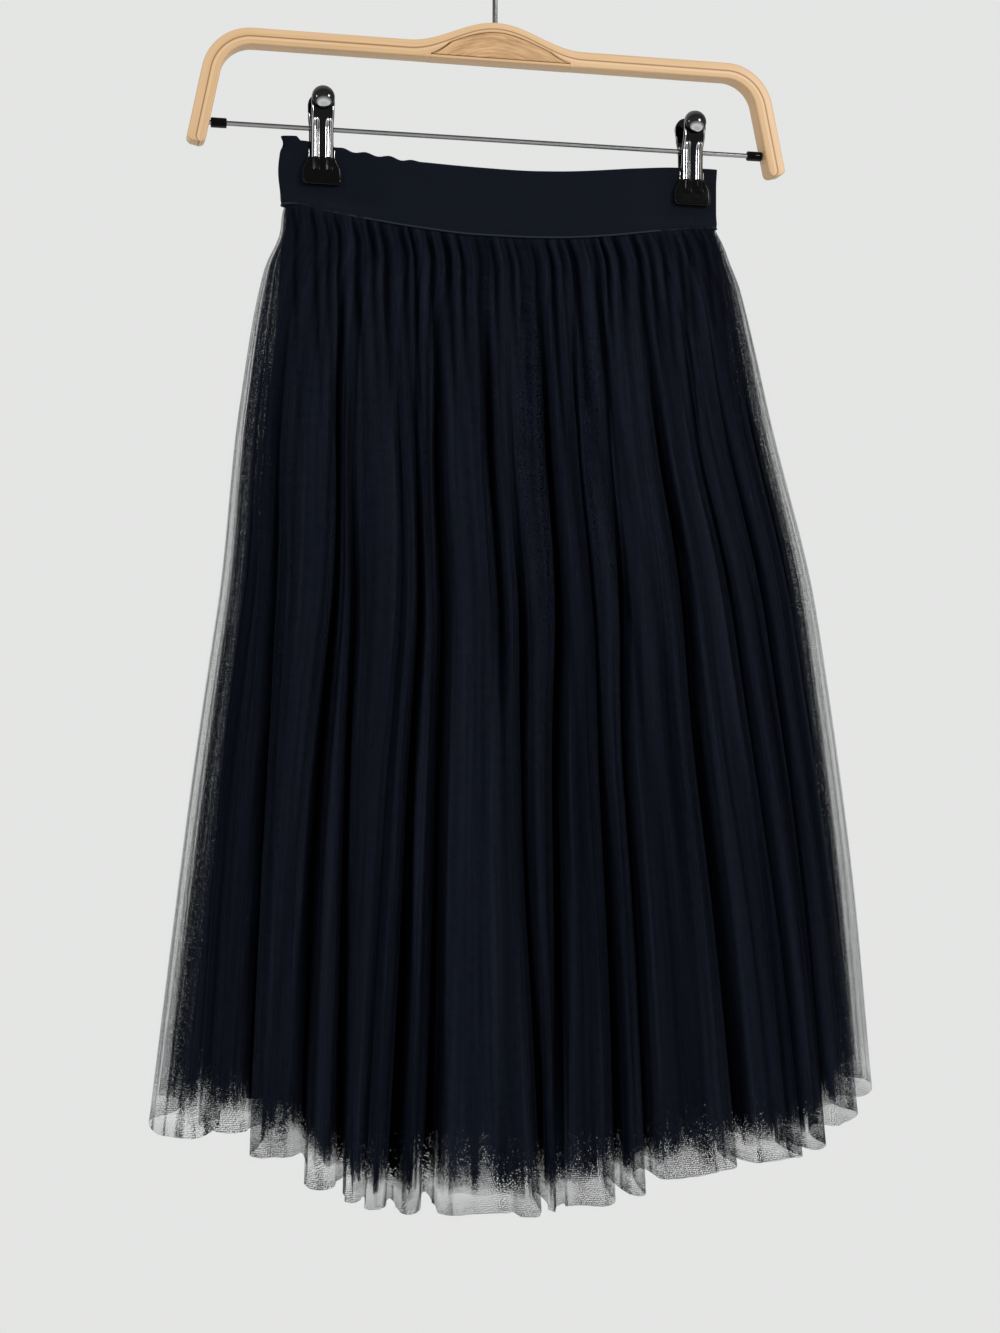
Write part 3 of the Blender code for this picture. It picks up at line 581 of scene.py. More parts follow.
def painted_reflection_finish(name, bands, roughness, direction, metallic=1.0, specular=0.5):
    """A gloss finish with painted reflections: its colour is painted dark and bright in bands by how far its
    surface turns from a direction.
    """
    made, tree, shader = nodes_of(name)
    facing = add(tree, "NewGeometry").outputs["Normal"]
    turned = add(tree, "VectorMath", {0: facing, 1: direction}, operation="DOT_PRODUCT").outputs["Value"]
    marks = noise(tree, object_places(tree), 240.0, 3.0)
    place = maths(tree, "MULTIPLY_ADD", marks, 0.02, maths(tree, "ABSOLUTE", turned))
    fill(tree, shader, {
        "Base Color": ramped(tree, place, [(at, grey, grey, 1.02 * grey) for at, grey in bands]),
        "Roughness": remap(tree, marks, 0.3, 0.7, roughness * 0.8, roughness * 1.3),
        "Metallic": metallic, "Specular IOR Level": specular})
    return made


def grained(tree, scale, detail, turn=0.0):
    """Noise stretched along the wood, from the mesh's grain: along, across and below the top."""
    return noise(tree, stretch(tree, field(tree, "grain", "Vector"), scale, turn), 1.0, detail, 0.6)


def wood_finish():
    """Pale varnished ply with its dark glue line and thin layers."""
    made, tree, shader = nodes_of("Bent birch ply")
    fibre = grained(tree, (14.0, 700.0, 700.0), 4.0)
    broad = grained(tree, (5.0, 90.0, 160.0), 2.0)
    below = add(tree, "SeparateXYZ", {0: field(tree, "grain", "Vector")}).outputs[2]
    wobble = maths(tree, "MULTIPLY_ADD", broad, 0.0005, below)
    glue = on_line(tree, wobble, GLUE_LINE + 0.00025, 0.00022, 0.00075)
    light_strip = on_line(tree, wobble, GLUE_LINE + 0.0019, 0.0003, 0.0011, 0.45)
    mixed = weighted(tree, (broad, 0.55), (fibre, 0.45))
    body = ramped(tree, mixed, [(0.34, 0.475, 0.290, 0.142), (0.68, 0.590, 0.400, 0.222)])
    pale = blend(tree, light_strip, body, (0.67, 0.475, 0.280))
    height = maths(tree, "SUBTRACT", maths(tree, "MULTIPLY", fibre, 0.4), glue)
    fill(tree, shader, {
        "Base Color": blend(tree, maths(tree, "MULTIPLY", glue, 0.85), pale, (0.24, 0.105, 0.040)),
        "Normal": relief(tree, height, 0.35, 0.0003),
        "Roughness": remap(tree, fibre, 0.3, 0.7, 0.34, 0.50), "Specular IOR Level": 0.35})
    return made


def core_finish():
    """Darker, coarser wood of the block in the middle."""
    made, tree, shader = nodes_of("Core wood")
    fibre = grained(tree, (45.0, 260.0, 620.0), 5.0, CORE_TURN)
    pores = grained(tree, (160.0, 2200.0, 2600.0), 2.0, CORE_TURN)
    mixed = weighted(tree, (pores, 0.25), (fibre, 0.75))
    fill(tree, shader, {
        "Base Color": ramped(tree, mixed, [(0.36, 0.30, 0.165, 0.075), (0.64, 0.56, 0.345, 0.170)]),
        "Normal": relief(tree, pores, 0.3, 0.0002),
        "Roughness": remap(tree, pores, 0.3, 0.7, 0.36, 0.55), "Specular IOR Level": 0.3})
    return made


# Camera


def make_camera():
    data = bpy.data.cameras.new("Camera")
    data.sensor_width = SENSOR
    data.lens = FOCAL_PIXELS / FRAME_HEIGHT * SENSOR
    data.shift_x = (FRAME_WIDTH / 2 - CENTRE_PIXEL[0]) / FRAME_HEIGHT
    data.shift_y = (CENTRE_PIXEL[1] - FRAME_HEIGHT / 2) / FRAME_HEIGHT
    data.clip_start, data.clip_end = 0.05, 50.0
    made = bpy.data.objects.new("Camera", data)
    bpy.context.scene.collection.objects.link(made)
    across, along = math.sin(CAMERA_TURN), math.cos(CAMERA_TURN)
    made.location = (-CAMERA_DISTANCE * across, -CAMERA_DISTANCE * along, CAMERA_HEIGHT)
    made.rotation_euler = (math.radians(90), 0.0, -CAMERA_TURN)
    bpy.context.scene.camera = made


# Net layers


def fold_knots(way, kept, widen):
    """Shares, moves, depths and hem heights of a layer's fold knots at one way down."""
    ring = flattened_ring(*body_at(way))
    per_metre = 2.0 / ring[3]
    count = len(PANELS)
    lines = np.array([eased(way, VALLEY_WAYS, row[0]) for row in PANELS])
    wide = np.append(lines[1:], lines[0] + 2.0) - lines
    full = float(eased(way, *zip(*GROOVE_DEPTH)))
    depth = full * np.array([eased(way, STRENGTH_WAYS, row[1]) for row in PANELS])
    narrow = 0.4 + 0.6 * way
    half = np.array([(row[2] * narrow + widen) * per_metre for row in PANELS])
    half_after = np.roll(half, -1)
    set_in = float(step(way, 0.0, 0.13))
    left = np.minimum(half, 0.42 * wide) * set_in + 0.30 * wide * (1 - set_in)
    right = np.minimum(half_after, 0.42 * wide) * set_in + 0.30 * wide * (1 - set_in)
    flat = wide - left - right
    growth = way**FOLD_GROWTH
    shares, moves, depths, hems = [], [], [], []
    for i, (_, _, _, rise, edges, soft, hem) in enumerate(PANELS):
        following = (i + 1) % count
        top = growth * rise * kept
        left_edge, right_edge = top - growth * edges[0], top - growth * edges[1]
        before, after = PANELS[i - 1], PANELS[following]
        floor = growth * min(rise - edges[0], before[3] - before[4][1]) - depth[i]
        floor_after = growth * min(rise - edges[1], after[3] - after[4][0]) - depth[following]
        floor, floor_after = min(floor, left_edge), min(floor_after, right_edge)
        start = lines[i]
        shares += [start, start + 0.55 * left[i], start + left[i],
                   start + left[i] + soft[0] * flat[i], start + wide[i] - right[i] - soft[1] * flat[i],
                   start + wide[i] - right[i], start + wide[i] - 0.55 * right[i]]
        moves += [floor, 0.75 * floor + 0.25 * left_edge, left_edge, top, top, right_edge,
                  0.75 * floor_after + 0.25 * right_edge]
        # Painted shade of each groove, growing with its depth until it is full
        dark, dark_after = (min(depth[j] / FULL_SHADE_DEPTH, 1.0) for j in (i, following))
        depths += [dark, 0.75 * dark, 0.1 * dark, 0.0, 0.0, 0.1 * dark_after, 0.75 * dark_after]
        hems += [(hem + before[6]) / 2 + HEM_TUCK, hem + HEM_TUCK / 2, hem, hem, hem, hem,
                 hem + HEM_TUCK / 2]
    return ring, np.array(shares), np.array(moves), np.array(depths), np.array(hems)


def folded_line(way, kept, widen):
    """Points round a layer at one way down, dense and smooth, with depths, hems and shares."""
    ring, shares, moves, depths, hems = fold_knots(way, kept, widen)
    count = len(shares)
    at = np.arange(count * DENSE) / DENSE
    ends = np.arange(count + 1)
    turn = 2.0 * ends / count

    def smooth(values, width):
        return blurred(np.interp(at, ends, np.append(values, values[0])), width * DENSE)

    lean = blurred(np.interp(at, ends, np.append(shares, shares[0] + 2.0) - turn), 0.22 * DENSE)
    share = lean + 2.0 * at / count
    points, normals = ring_at(ring, share)
    line = points + normals * smooth(moves, 0.24)[:, None]
    return line, smooth(depths, 0.22), smooth(hems, 0.8), share


def cloth_places(columns):
    """Where the columns lie among the dense points, evenly along the cloth."""
    line = folded_line(0.72, 1.0, 0.0)[0]
    run = np.hypot(*(np.roll(line, -1, axis=0) - line).T)
    total = np.concatenate([[0.0], np.cumsum(run)]) / run.sum()
    wanted = np.arange(columns) / columns
    return np.interp(wanted, total, np.arange(len(total)))


def creases(count, seed, heights, widths, starts, ends):
    """Random small creases: cloth share, drift, height, width, first and last way."""
    draw = np.random.default_rng(seed)
    place = (np.arange(count) + draw.uniform(-0.42, 0.42, count)) / count
    sign = np.where(draw.uniform(size=count) < 0.62, 1.0, -0.8)
    return dict(
        place=place, drift=draw.normal(0.0, 0.0012, count),
        height=sign * draw.uniform(*heights, count), width=draw.uniform(*widths, count) / count,
        start=draw.uniform(*starts, count), end=draw.uniform(*ends, count),
        power=draw.uniform(1.2, 2.2, count),
    )


def crease_move(set_of, at, way):
    """How far one set of creases moves the cloth at places `at` and one way down."""
    start, end = set_of["start"], set_of["end"]
    strength = step((way - start) / 0.16, 0, 1) * (1 - step((way - end) / 0.22, 0, 1))
    strength *= set_of["height"]
    away = at[None, :] - (set_of["place"] + set_of["drift"] * math.sin(5 * way))[:, None]
    away -= np.round(away)
    reach = np.abs(away) / set_of["width"][:, None]
    return (strength[:, None] * np.exp(-reach ** set_of["power"][:, None])).sum(axis=0)


def crease_sets(seed):
    return [
        creases(260, seed, (0.0006, 0.0016), (0.22, 0.42), (-0.10, 0.55), (0.30, 1.30)),
        creases(150, seed + 1, (0.0014, 0.0032), (0.14, 0.28), (-0.10, 0.50), (0.50, 1.50)),
    ]


def gather_share(line, way):
    """The share at the waist that lies above each point, so that gathers hang nearly plumb."""
    x0, _, share0, _ = flattened_ring(*body_at(0.0))
    middle = len(x0) // 2 + 1
    start, here = body_at(0.0), body_at(way)
    fanned = 1 + GATHER_FAN * (here[0] / start[0] - 1)
    x = start[3] + (line[:, 0] - here[3]) / fanned
    front = np.interp(x, x0[:middle], share0[:middle])
    back = np.interp(-x, -x0[middle - 1:], share0[middle - 1:])
    return np.where(line[:, 1] < 0, front, back)


def gathers(share, way):
    """Rounded puffs of cloth under the waist seam, and a painted shade that grows darker towards the creases
    between them.
    """
    draw = np.random.default_rng(GATHER_SEED)
    total, dark = np.zeros_like(share), np.zeros_like(share)
    for count, height, reach in GATHERS:
        ends = 2.0 * (np.arange(count) + draw.uniform(-0.34, 0.34, count)) / count
        tall = draw.uniform(0.35, 1.0, count) * height
        last = draw.uniform(0.5, 1.5, count) * reach
        ends = np.append(ends, ends[0] + 2.0)
        spot = np.mod(share - ends[0], 2.0) + ends[0]
        i = np.clip(np.searchsorted(ends, spot, side="right") - 1, 0, count - 1)
        across = (spot - ends[i]) / (ends[i + 1] - ends[i])
        puff = 1 - np.abs(2 * across - 1) ** 1.9
        fade = step(way, -0.004, 0.012) * (1 - step(way / last[i], 0.15, 1.0))
        total += tall[i] * fade * (puff - 0.55)
        strong = np.minimum(0.4 + tall[i] / GATHERS[0][1], 1.0)
        # Painted shade, darkest in the creases between puffs
        dark = np.maximum(dark, fade * np.abs(2 * across - 1) ** 2.6 * strong)
    return total, dark


def row_ways(rows):
    """Ways down for the rows, closer together near the gathers, with a last narrow row."""
    t = np.linspace(0.0, 1.0, rows - 1)
    return np.insert(0.52 * t + 0.48 * t**1.9, rows - 2, 1 - RAW_EDGE)


def seam_height(x):
    return eased(x, *zip(*BAND_BOTTOM_EDGE))


def hem_wander(places, seed, reach):
    """How far the hem's height strays along the cloth."""
    draw = np.random.default_rng(seed + 100)
    total = np.zeros_like(places)
    for waves in (9, 16, 29, 47, 83):
        total += draw.uniform(0.4, 1.0) / math.sqrt(waves / 9) * np.sin(
            2 * math.pi * (waves * places + draw.uniform()))
    return reach * total / 1.6


def streaks(places, seed, counts):
    """Uneven values from -1 to 1 along the cloth."""
    draw = np.random.default_rng(seed + 200)
    total = np.zeros_like(places)
    for count in counts:
        total += np.interp(places * count, np.arange(count + 1), draw.uniform(-1, 1, count + 1))
    return total / math.sqrt(len(counts))


def painted_fold_shade(way, share, ripple, crease_shade, deep):
    """Painted shade of the cloth: painted shade in its grooves and creases and a painted highlight on its
    ridges, over random streaks of tone; from 0 on a ridge to 1 in a groove.
    """
    # Painted shade in the grooves between ripples
    groove = GROOVE_SHADE * np.clip(-ripple / RIPPLE_FULL, 0.0, 1.0)
    # Painted highlight on the crests of ripples
    ridge = np.clip(ripple / RIPPLE_FULL, 0.0, 1.0)
    deep = np.maximum(deep, np.maximum(crease_shade, groove))
    drift = STREAK_DRIFT * math.sin(7 * way)
    streak = streaks(np.mod(share / 2 + drift, 1.0), STREAK_SEED, STREAK_COUNTS)
    return np.clip(STREAK_SHADE * (1 + streak) + deep - RIDGE_LIGHT * ridge, 0.0, 1.0)


def rippled_line(way, kept, widen, inset, side, sets, at):
    """Columns round a layer at one way down: x, y, hem height, painted shade of its folds and nearness to a
    side.
    """
    line, deep, hem, share = folded_line(way, kept, widen)
    normals = outward_normals(line)
    to_side = 1 - np.abs(np.mod(share + 0.5, 1.0) - 0.5) / 0.5
    tuck = SEAM_TUCK * (1 - step(way, 0.0, 0.012)) + inset * (0.4 + 0.6 * step(way, 0.0, 0.12))
    tuck = tuck + side * float(eased(way, *zip(*SIDE_REACH))) * step(to_side, *SIDE_TUCKED)
    ripple = sum(crease_move(one, at, way) for one in sets) * (1 - 0.7 * deep)
    puffs, crease_shade = gathers(gather_share(line, way), way)
    end = step(to_side, *SIDE_SHEER)
    ripple = (ripple * step(way, 0.08, 0.26) + puffs) * (1 - SIDE_CALM * end)
    line = line + normals * (ripple - tuck)[:, None]
    return np.stack([*line.T, hem, painted_fold_shade(way, share, ripple, crease_shade, deep), end])


def net_points(inset, side, kept, widen, lift, vary, columns, rows, at_sides, fade, thinnest, seed):
    """Points of a net layer, how dense its net is and the painted shade of its folds."""
    places = cloth_places(columns)
    cloth = np.arange(columns) / columns
    sets = crease_sets(seed)
    spots = np.arange(len(PANELS) * PANEL_KNOTS * DENSE + 1)
    at = np.interp(spots[:-1], places, cloth, period=spots[-1])
    pleat = np.maximum(streaks(cloth, seed + 2, (PLEAT_COUNT,)) - PLEAT_FROM, 0.0)
    uneven = 1.0 + UNEVEN * streaks(cloth, seed, UNEVEN_COUNTS) + PLEAT_DARK * pleat
    fade_here = fade * np.maximum(1.0 + streaks(cloth, seed + 1, FADE_COUNTS), LEAST_FADE)
    points, dense, shades = [], [], []
    for way in row_ways(rows):
        x, y, hem, shade, end = (np.interp(places, spots, np.append(column, column[0]))
                                 for column in rippled_line(way, kept, widen, inset, side, sets, at))
        seam = seam_height(x)
        foot = hem + lift + hem_wander(cloth, seed, vary)
        height = seam + (foot - seam) * way if way > 0 else seam + SEAM_OVERLAP
        points.append(np.column_stack([x, y, height]))
        above = (height - foot) if way > 0 else np.full(columns, 1.0)
        thin = thinnest + (1 - thinnest) * step(above / fade_here, 0.0, 1.0)
        raw = 1 + RAW_DARK * (way > 1 - 1.5 * RAW_EDGE) * (lift == 0)
        sides = (at_sides + PLEAT_SIDE * pleat) * end
        dense.append(uneven * thin * raw * (1 + 0.5 * shade + sides))
        shades.append(shade)
    return np.array(points), np.array(dense), np.array(shades)


def flat_places(points, cut, start):
    """Flat cloth places: along each row's cut from a share of it, and by height."""
    columns = points.shape[1]
    u = cut[:, None] * (np.arange(columns + 1) / columns - start)
    v = np.hstack([points[:, :, 2], points[:, :1, 2]])
    return np.stack([u, v], axis=2)


def make_net(name, node, inset, side, kept, widen, lift, vary, columns, rows, flat, thread,
             at_sides, fade, thinnest, speck, seed):
    points, dense, shade = net_points(inset, side, kept, widen, lift, vary, columns, rows,
                                      at_sides, fade, thinnest, seed)
    runs = np.hypot(*(np.roll(points, -1, axis=1) - points)[:, :, :2].transpose(2, 0, 1)).sum(axis=1)
    ways = row_ways(rows)
    cut = GATHERED * runs[0] * (1 - ways) + flat * ways
    dense = dense * np.clip(cut / runs, 1.0, 3.0)[:, None] ** 0.8
    mesh = grid_mesh(name, points, flat_places(points, cut, 0.5), {"dense": dense, "shade": shade})
    turn = circle(columns)
    loop = np.stack([np.broadcast_to(np.cos(turn), points.shape[:2]),
                     np.broadcast_to(np.sin(turn), points.shape[:2]), points[:, :, 2]], axis=2)
    loop[:, :, :2] *= flat / (2 * math.pi)
    made = mesh.attributes.new("loop", "FLOAT_VECTOR", "POINT")
    made.data.foreach_set("vector", loop.reshape(-1).astype(np.float32))
    finish = net_finish("Navy net " + name, thread, speck, seed)
    made = piece(name, mesh, finish, "tulle", node)


# Lining


def make_lining():
    columns, rows = 360, 60
    shares = 2.0 * np.arange(columns) / columns
    heights, *sizes = zip(*LINING)
    drops = [-height for height in heights]
    points = []
    for way in np.linspace(0.0, 1.0, rows):
        drop = drops[0] + (drops[-1] - drops[0]) * way
        line, normals = ring_at(flattened_ring(*at_all(drop, drops, sizes)), shares)
        wave = sum(deep * way * np.sin(waves * math.pi * shares + start)
                   for waves, deep, start in LINING_WAVES)
        line = line + normals * wave[:, None]
        top = seam_height(line[:, 0]) + LINING_OVERLAP
        foot = heights[-1] + LINING_SAG * (top - seam_height(0.0)) + 0.003 * np.sin(7 * math.pi * shares)
        points.append(np.column_stack([line, top + (foot - top) * way]))
    points = np.array(points)
    places = flat_places(points, np.full(rows, LINING_ROUND), 0.0)
    mesh = grid_mesh("lining_cloth", points, places)
    made = piece("lining_cloth", mesh, lining_finish(), "lining", "lining")


# Hard pieces


def solid(name, points, faces, grain=None, sharp=40):
    """A mesh from points and faces, smooth but for its sharp edges; grain is a vector a point."""
    mesh = bpy.data.meshes.new(name)
    mesh.from_pydata([tuple(point) for point in points], [], faces)
    mesh.update()
    if grain is not None:
        values = mesh.attributes.new("grain", "FLOAT_VECTOR", "POINT")
        values.data.foreach_set("vector", np.asarray(grain, float).reshape(-1))
    mesh.shade_smooth()
    mesh.set_sharp_from_angle(angle=math.radians(sharp))
    return mesh


def skin_faces(rows, columns, start=0):
    """Faces round closed sections laid one after another, with a cap on both ends."""
    faces = [tuple(start + i for i in range(columns))[::-1]]
    for r in range(rows - 1):
        for c in range(columns):
            d = (c + 1) % columns
            a, b = start + r * columns, start + (r + 1) * columns
            faces.append((a + c, a + d, b + d, b + c))
    faces.append(tuple(start + (rows - 1) * columns + i for i in range(columns)))
    return faces


def headings(path):
    along = np.gradient(path, axis=0)
    return along / np.linalg.norm(along, axis=1, keepdims=True)


def circle(sides):
    return 2 * math.pi * np.arange(sides) / sides


def tube(name, path, radius, sides=16, round_ends=(False, False)):
    """A round wire along a path of points."""
    path = np.asarray(path, float)
    along = headings(path)
    radii = np.full(len(path), radius)
    for at_end, first in zip(round_ends, (True, False)):
        if at_end:
            place, out = (path[0], -along[0]) if first else (path[-1], along[-1])
            turns = np.linspace(0.0, math.radians(84), 6)[1:]
            cap = [place + out * radius * math.sin(turn) for turn in turns]
            small = [radius * math.cos(turn) for turn in turns]
            if first:
                path, radii = np.vstack([cap[::-1], path]), np.concatenate([small[::-1], radii])
            else:
                path, radii = np.vstack([path, cap]), np.concatenate([radii, small])
    along = headings(path)
    side = np.cross(along[0], (0.3, 0.9, 0.2))
    sections = []
    for place, ahead, size in zip(path, along, radii):
        side = side - ahead * side.dot(ahead)
        side /= np.linalg.norm(side)
        up = np.cross(ahead, side)
        turns = circle(sides)
        sections.append(place + size * (np.outer(np.cos(turns), side) + np.outer(np.sin(turns), up)))
    return solid(name, np.vstack(sections), skin_faces(len(path), sides))


def slab(name, front, back):
    """A closed sheet between two grids of points."""
    rows, columns, _ = front.shape
    count = rows * columns
    faces = []
    for r in range(rows - 1):
        for c in range(columns - 1):
            i = r * columns + c
            faces.append((i, i + columns, i + columns + 1, i + 1))
            faces.append((count + i, count + i + 1, count + i + columns + 1, count + i + columns))
    rim = list(range(columns)) + [r * columns + columns - 1 for r in range(1, rows)]
    rim += [(rows - 1) * columns + c for c in range(columns - 2, -1, -1)]
    rim += [r * columns for r in range(rows - 2, 0, -1)]
    for a, b in zip(rim, rim[1:] + rim[:1]):
        faces.append((a, b, count + b, count + a))
    return solid(name, np.vstack([front.reshape(-1, 3), back.reshape(-1, 3)]), faces, sharp=50)


def facing_out(mesh):
    body = bmesh.new()
    body.from_mesh(mesh)
    bmesh.ops.recalc_face_normals(body, faces=body.faces)
    body.to_mesh(mesh)
    body.free()
    return mesh


# Hanger


def hump(x):
    reach = np.minimum(np.abs(x) / HUMP_HALF_WIDTH, 1.0)
    return (HUMP_TOP - BAR_TOP) * 0.5 * (1 + np.cos(math.pi * reach))


def core_roof(x, grow):
    """Top of the lens-shaped core, which tapers to its two tips."""
    floor = BAR_TOP - BAR_THICKNESS + CORE_STRIP - grow
    left = np.maximum(CORE_HALF_WIDTH + 4 * grow - np.abs(x - CORE_CENTRE), 0.0)
    tall = BAR_TOP + hump(x) - UPPER_STRIP + grow - floor
    return floor + np.maximum(tall, CORE_TIP) * np.minimum(left / CORE_TAPER, 1.0) ** 0.8


def section(outer, inner, depth, corner):
    """A rounded oblong between an outer and an inner point, `depth` thick along Y."""
    outer, inner = np.array(outer), np.array(inner)
    thick = np.linalg.norm(outer - inner)
    up = (outer - inner) / thick
    corner = min(corner, 0.45 * thick)
    points = []
    for y_side, z_side, first in ((1, 1, 0), (-1, 1, 90), (-1, -1, 180), (1, -1, 270)):
        for turn in np.radians(np.linspace(first, first + 90, 5)):
            y = y_side * (depth / 2 - corner) + corner * math.cos(turn)
            high = thick / 2 + z_side * (thick / 2 - corner) + corner * math.sin(turn)
            spot = inner + up * high
            points.append((spot[0], y, spot[1], thick - high))
    return points


def bow_stations():
    """Outer and inner points (x, z) of the bow from its left tip to its right tip."""
    cos, sin = math.cos(ARM_LEAN), math.sin(ARM_LEAN)
    centre = (CORNER_START, BAR_TOP - CORNER_RADIUS)
    half = [((x, BAR_TOP), (x, BAR_TOP - BAR_THICKNESS))
            for x in np.linspace(HUMP_HALF_WIDTH + 0.004, CORNER_START, 10)[:-1]]
    for share in np.arange(CORNER_STEPS + 1) / CORNER_STEPS:
        turn = (math.pi / 2 - ARM_LEAN) * share
        thick = BAR_THICKNESS + (ARM_THICKNESS - BAR_THICKNESS) * share
        half.append(tuple((centre[0] + r * math.sin(turn), centre[1] + r * math.cos(turn))
                          for r in (CORNER_RADIUS, CORNER_RADIUS - thick)))
    start = np.array(half[-1][0])
    drop = (start[1] - ARM_TIP) / cos
    down, across = np.array((sin, -cos)), np.array((-cos, -sin))
    for left in [*np.linspace(drop, TIP_ROUND, 9)[1:], *(TIP_ROUND * part for part in (0.6, 0.3, 0.1, 0.0))]:
        outer = start + down * (drop - left)
        gone = TIP_ROUND - math.sqrt(TIP_ROUND**2 - max(TIP_ROUND - left, 0.0) ** 2)
        gone = min(gone, 0.8 * TIP_ROUND)
        half.append((outer + across * gone, outer + across * (ARM_THICKNESS - gone)))
    mirrored = [((-outer[0], outer[1]), (-inner[0], inner[1])) for outer, inner in half[::-1]]
    reach = CORE_HALF_WIDTH + 4 * CORE_CLEARANCE
    tips = [CORE_CENTRE - reach, CORE_CENTRE + reach]
    middle = np.sort(np.concatenate([np.linspace(-HUMP_HALF_WIDTH, HUMP_HALF_WIDTH, 45), tips]))
    hump_part = []
    for x in middle:
        inside = tips[0] < x < tips[1]
        floors = [core_roof(x, CORE_CLEARANCE) if inside else BAR_TOP - BAR_THICKNESS]
        if x in tips:
            floors.insert(1 - tips.index(x), BAR_TOP - BAR_THICKNESS + CORE_STRIP)
        hump_part += [((x, BAR_TOP + hump(x)), (x, floor)) for floor in floors]
    return mirrored + hump_part + half


def sections_of(ends, depth, corner, grain_of):
    """Points and grain of the rounded sections between pairs of outer and inner points."""
    points, grain = [], []
    for place, (outer, inner) in enumerate(ends):
        for x, y, z, below in section(outer, inner, depth, corner):
            points.append((x, y, z))
            grain.append(grain_of(place, x, y, below))
    return points, grain


def make_bow():
    stations = bow_stations()
    middle = np.array([(np.array(outer) + np.array(inner)) / 2 for outer, inner in stations])
    run = np.concatenate([[0.0], np.cumsum(np.linalg.norm(np.diff(middle, axis=0), axis=1))])
    squeeze = [1 + HUMP_SQUEEZE * hump(outer[0]) / (HUMP_TOP - BAR_TOP) for outer, _ in stations]
    points, grain = sections_of(stations, BOW_DEPTH, BOW_EDGE_ROUND,
                                lambda i, x, y, below: (run[i], y, below * squeeze[i]))
    columns = len(points) // len(stations)
    faces = skin_faces(len(stations), columns)
    floor = BAR_TOP - BAR_THICKNESS
    reach = CORE_HALF_WIDTH + STRIP_PAST_CORE
    strip = [((x, floor + CORE_STRIP - CORE_CLEARANCE), (x, floor))
             for x in np.linspace(CORE_CENTRE - reach, CORE_CENTRE + reach, 24)]
    strip_points, strip_grain = sections_of(strip, BOW_DEPTH, STRIP_ROUND,
                                            lambda i, x, y, below: (x, y, STRIP_GRAIN + below))
    faces += skin_faces(len(strip), columns, len(points))
    bow = solid("bow", points + strip_points, faces, grain + strip_grain, 50)
    piece("bow_of_bent_ply", facing_out(bow), wood_finish(), "wood", "hanger_bow")
    floor += CORE_STRIP
    places = CORE_CENTRE + CORE_HALF_WIDTH * np.sin(np.linspace(-0.5, 0.5, 61) * math.pi)
    block = [((x, max(float(core_roof(x, 0.0)), floor + CORE_LEAST)), (x, floor)) for x in places]
    points, grain = sections_of(block, BOW_DEPTH - 2 * GAP, CORE_ROUND,
                                lambda i, x, y, below: (x, y, below))
    core = solid("core", points, skin_faces(len(block), columns), grain, 50)
    piece("core_block", facing_out(core), core_finish(), "core_wood", "hanger_core")


def make_hook(finish):
    radius = HOOK_INSIDE_RADIUS + HOOK_WIRE / 2
    centre = -HOOK_INSIDE_RADIUS
    foot = HUMP_TOP - HOOK_HOLE_DEPTH + GAP
    neck = centre - radius - HOOK_NECK
    knots = [(0.0, foot), (0.0, (foot + neck) / 2), (0.0, neck),
             (HOOK_SIDESTEP / 3, neck + 0.6 * HOOK_NECK), (HOOK_SIDESTEP, neck + 1.1 * HOOK_NECK)]
    turns = np.linspace(math.radians(HOOK_START), math.radians(HOOK_END), 44)
    knots += [(radius * math.cos(turn), centre + radius * math.sin(turn)) for turn in turns]
    path = np.array([(x, 0.0, z) for x, z in knots])
    piece("hook_wire", tube("hook", path, HOOK_WIRE / 2, 20, (False, True)), finish, "steel", "hook")


def make_rod(steel, vinyl):
    ends = np.linspace(-ROD_HALF_LENGTH, ROD_HALF_LENGTH, 9)
    path = np.array([(x, 0.0, ROD_HEIGHT) for x in ends])
    piece("clip_rod", tube("rod", path, ROD_RADIUS, 24), steel, "steel", "rod")
    for name in ("rod_sleeve_left", "rod_sleeve_right"):
        low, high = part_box(name)
        inner, outer = ROD_RADIUS + GAP, SLEEVE_RADIUS
        soft = 0.0006
        profile = [(low[0], inner), (low[0], outer - soft), (low[0] + 0.3 * soft, outer - 0.3 * soft),
                   (low[0] + soft, outer), (high[0] - soft, outer),
                   (high[0] - 0.3 * soft, outer - 0.3 * soft), (high[0], outer - soft), (high[0], inner)]
        points, sides = [], 28
        for along, radius in profile:
            for turn in circle(sides):
                points.append((along, radius * math.cos(turn), ROD_HEIGHT + radius * math.sin(turn)))
        faces = skin_faces(len(profile), sides)[1:-1]
        last = (len(profile) - 1) * sides
        faces += [(c, (c + 1) % sides, last + (c + 1) % sides, last + c)[::-1] for c in range(sides)]
        piece(name + "_tip", facing_out(solid(name, points, faces)), vinyl, "black_vinyl", name)


# Clips


def rib_rise(x, height, top):
    """How far the two raised ribs of a clip stand out, with rounded ends."""
    over = np.abs(np.abs(x) - RIB_PLACE)
    past = np.maximum(np.maximum(height - top, RIB_END - height), 0.0)
    reach = np.sqrt(over**2 + past**2) / RIB_HALF_WIDTH
    return RIB_RISE * (1 - step(reach, 0.15, 1.0))


def at_height(height, profile):
    """The value of a profile of heights, highest first, at one height."""
    heights, values = zip(*profile)
    return float(eased(-height, [-one for one in heights], values))


def clip_row(x, y, height):
    return np.column_stack([x, y, np.full(len(x), ROD_HEIGHT + height)])


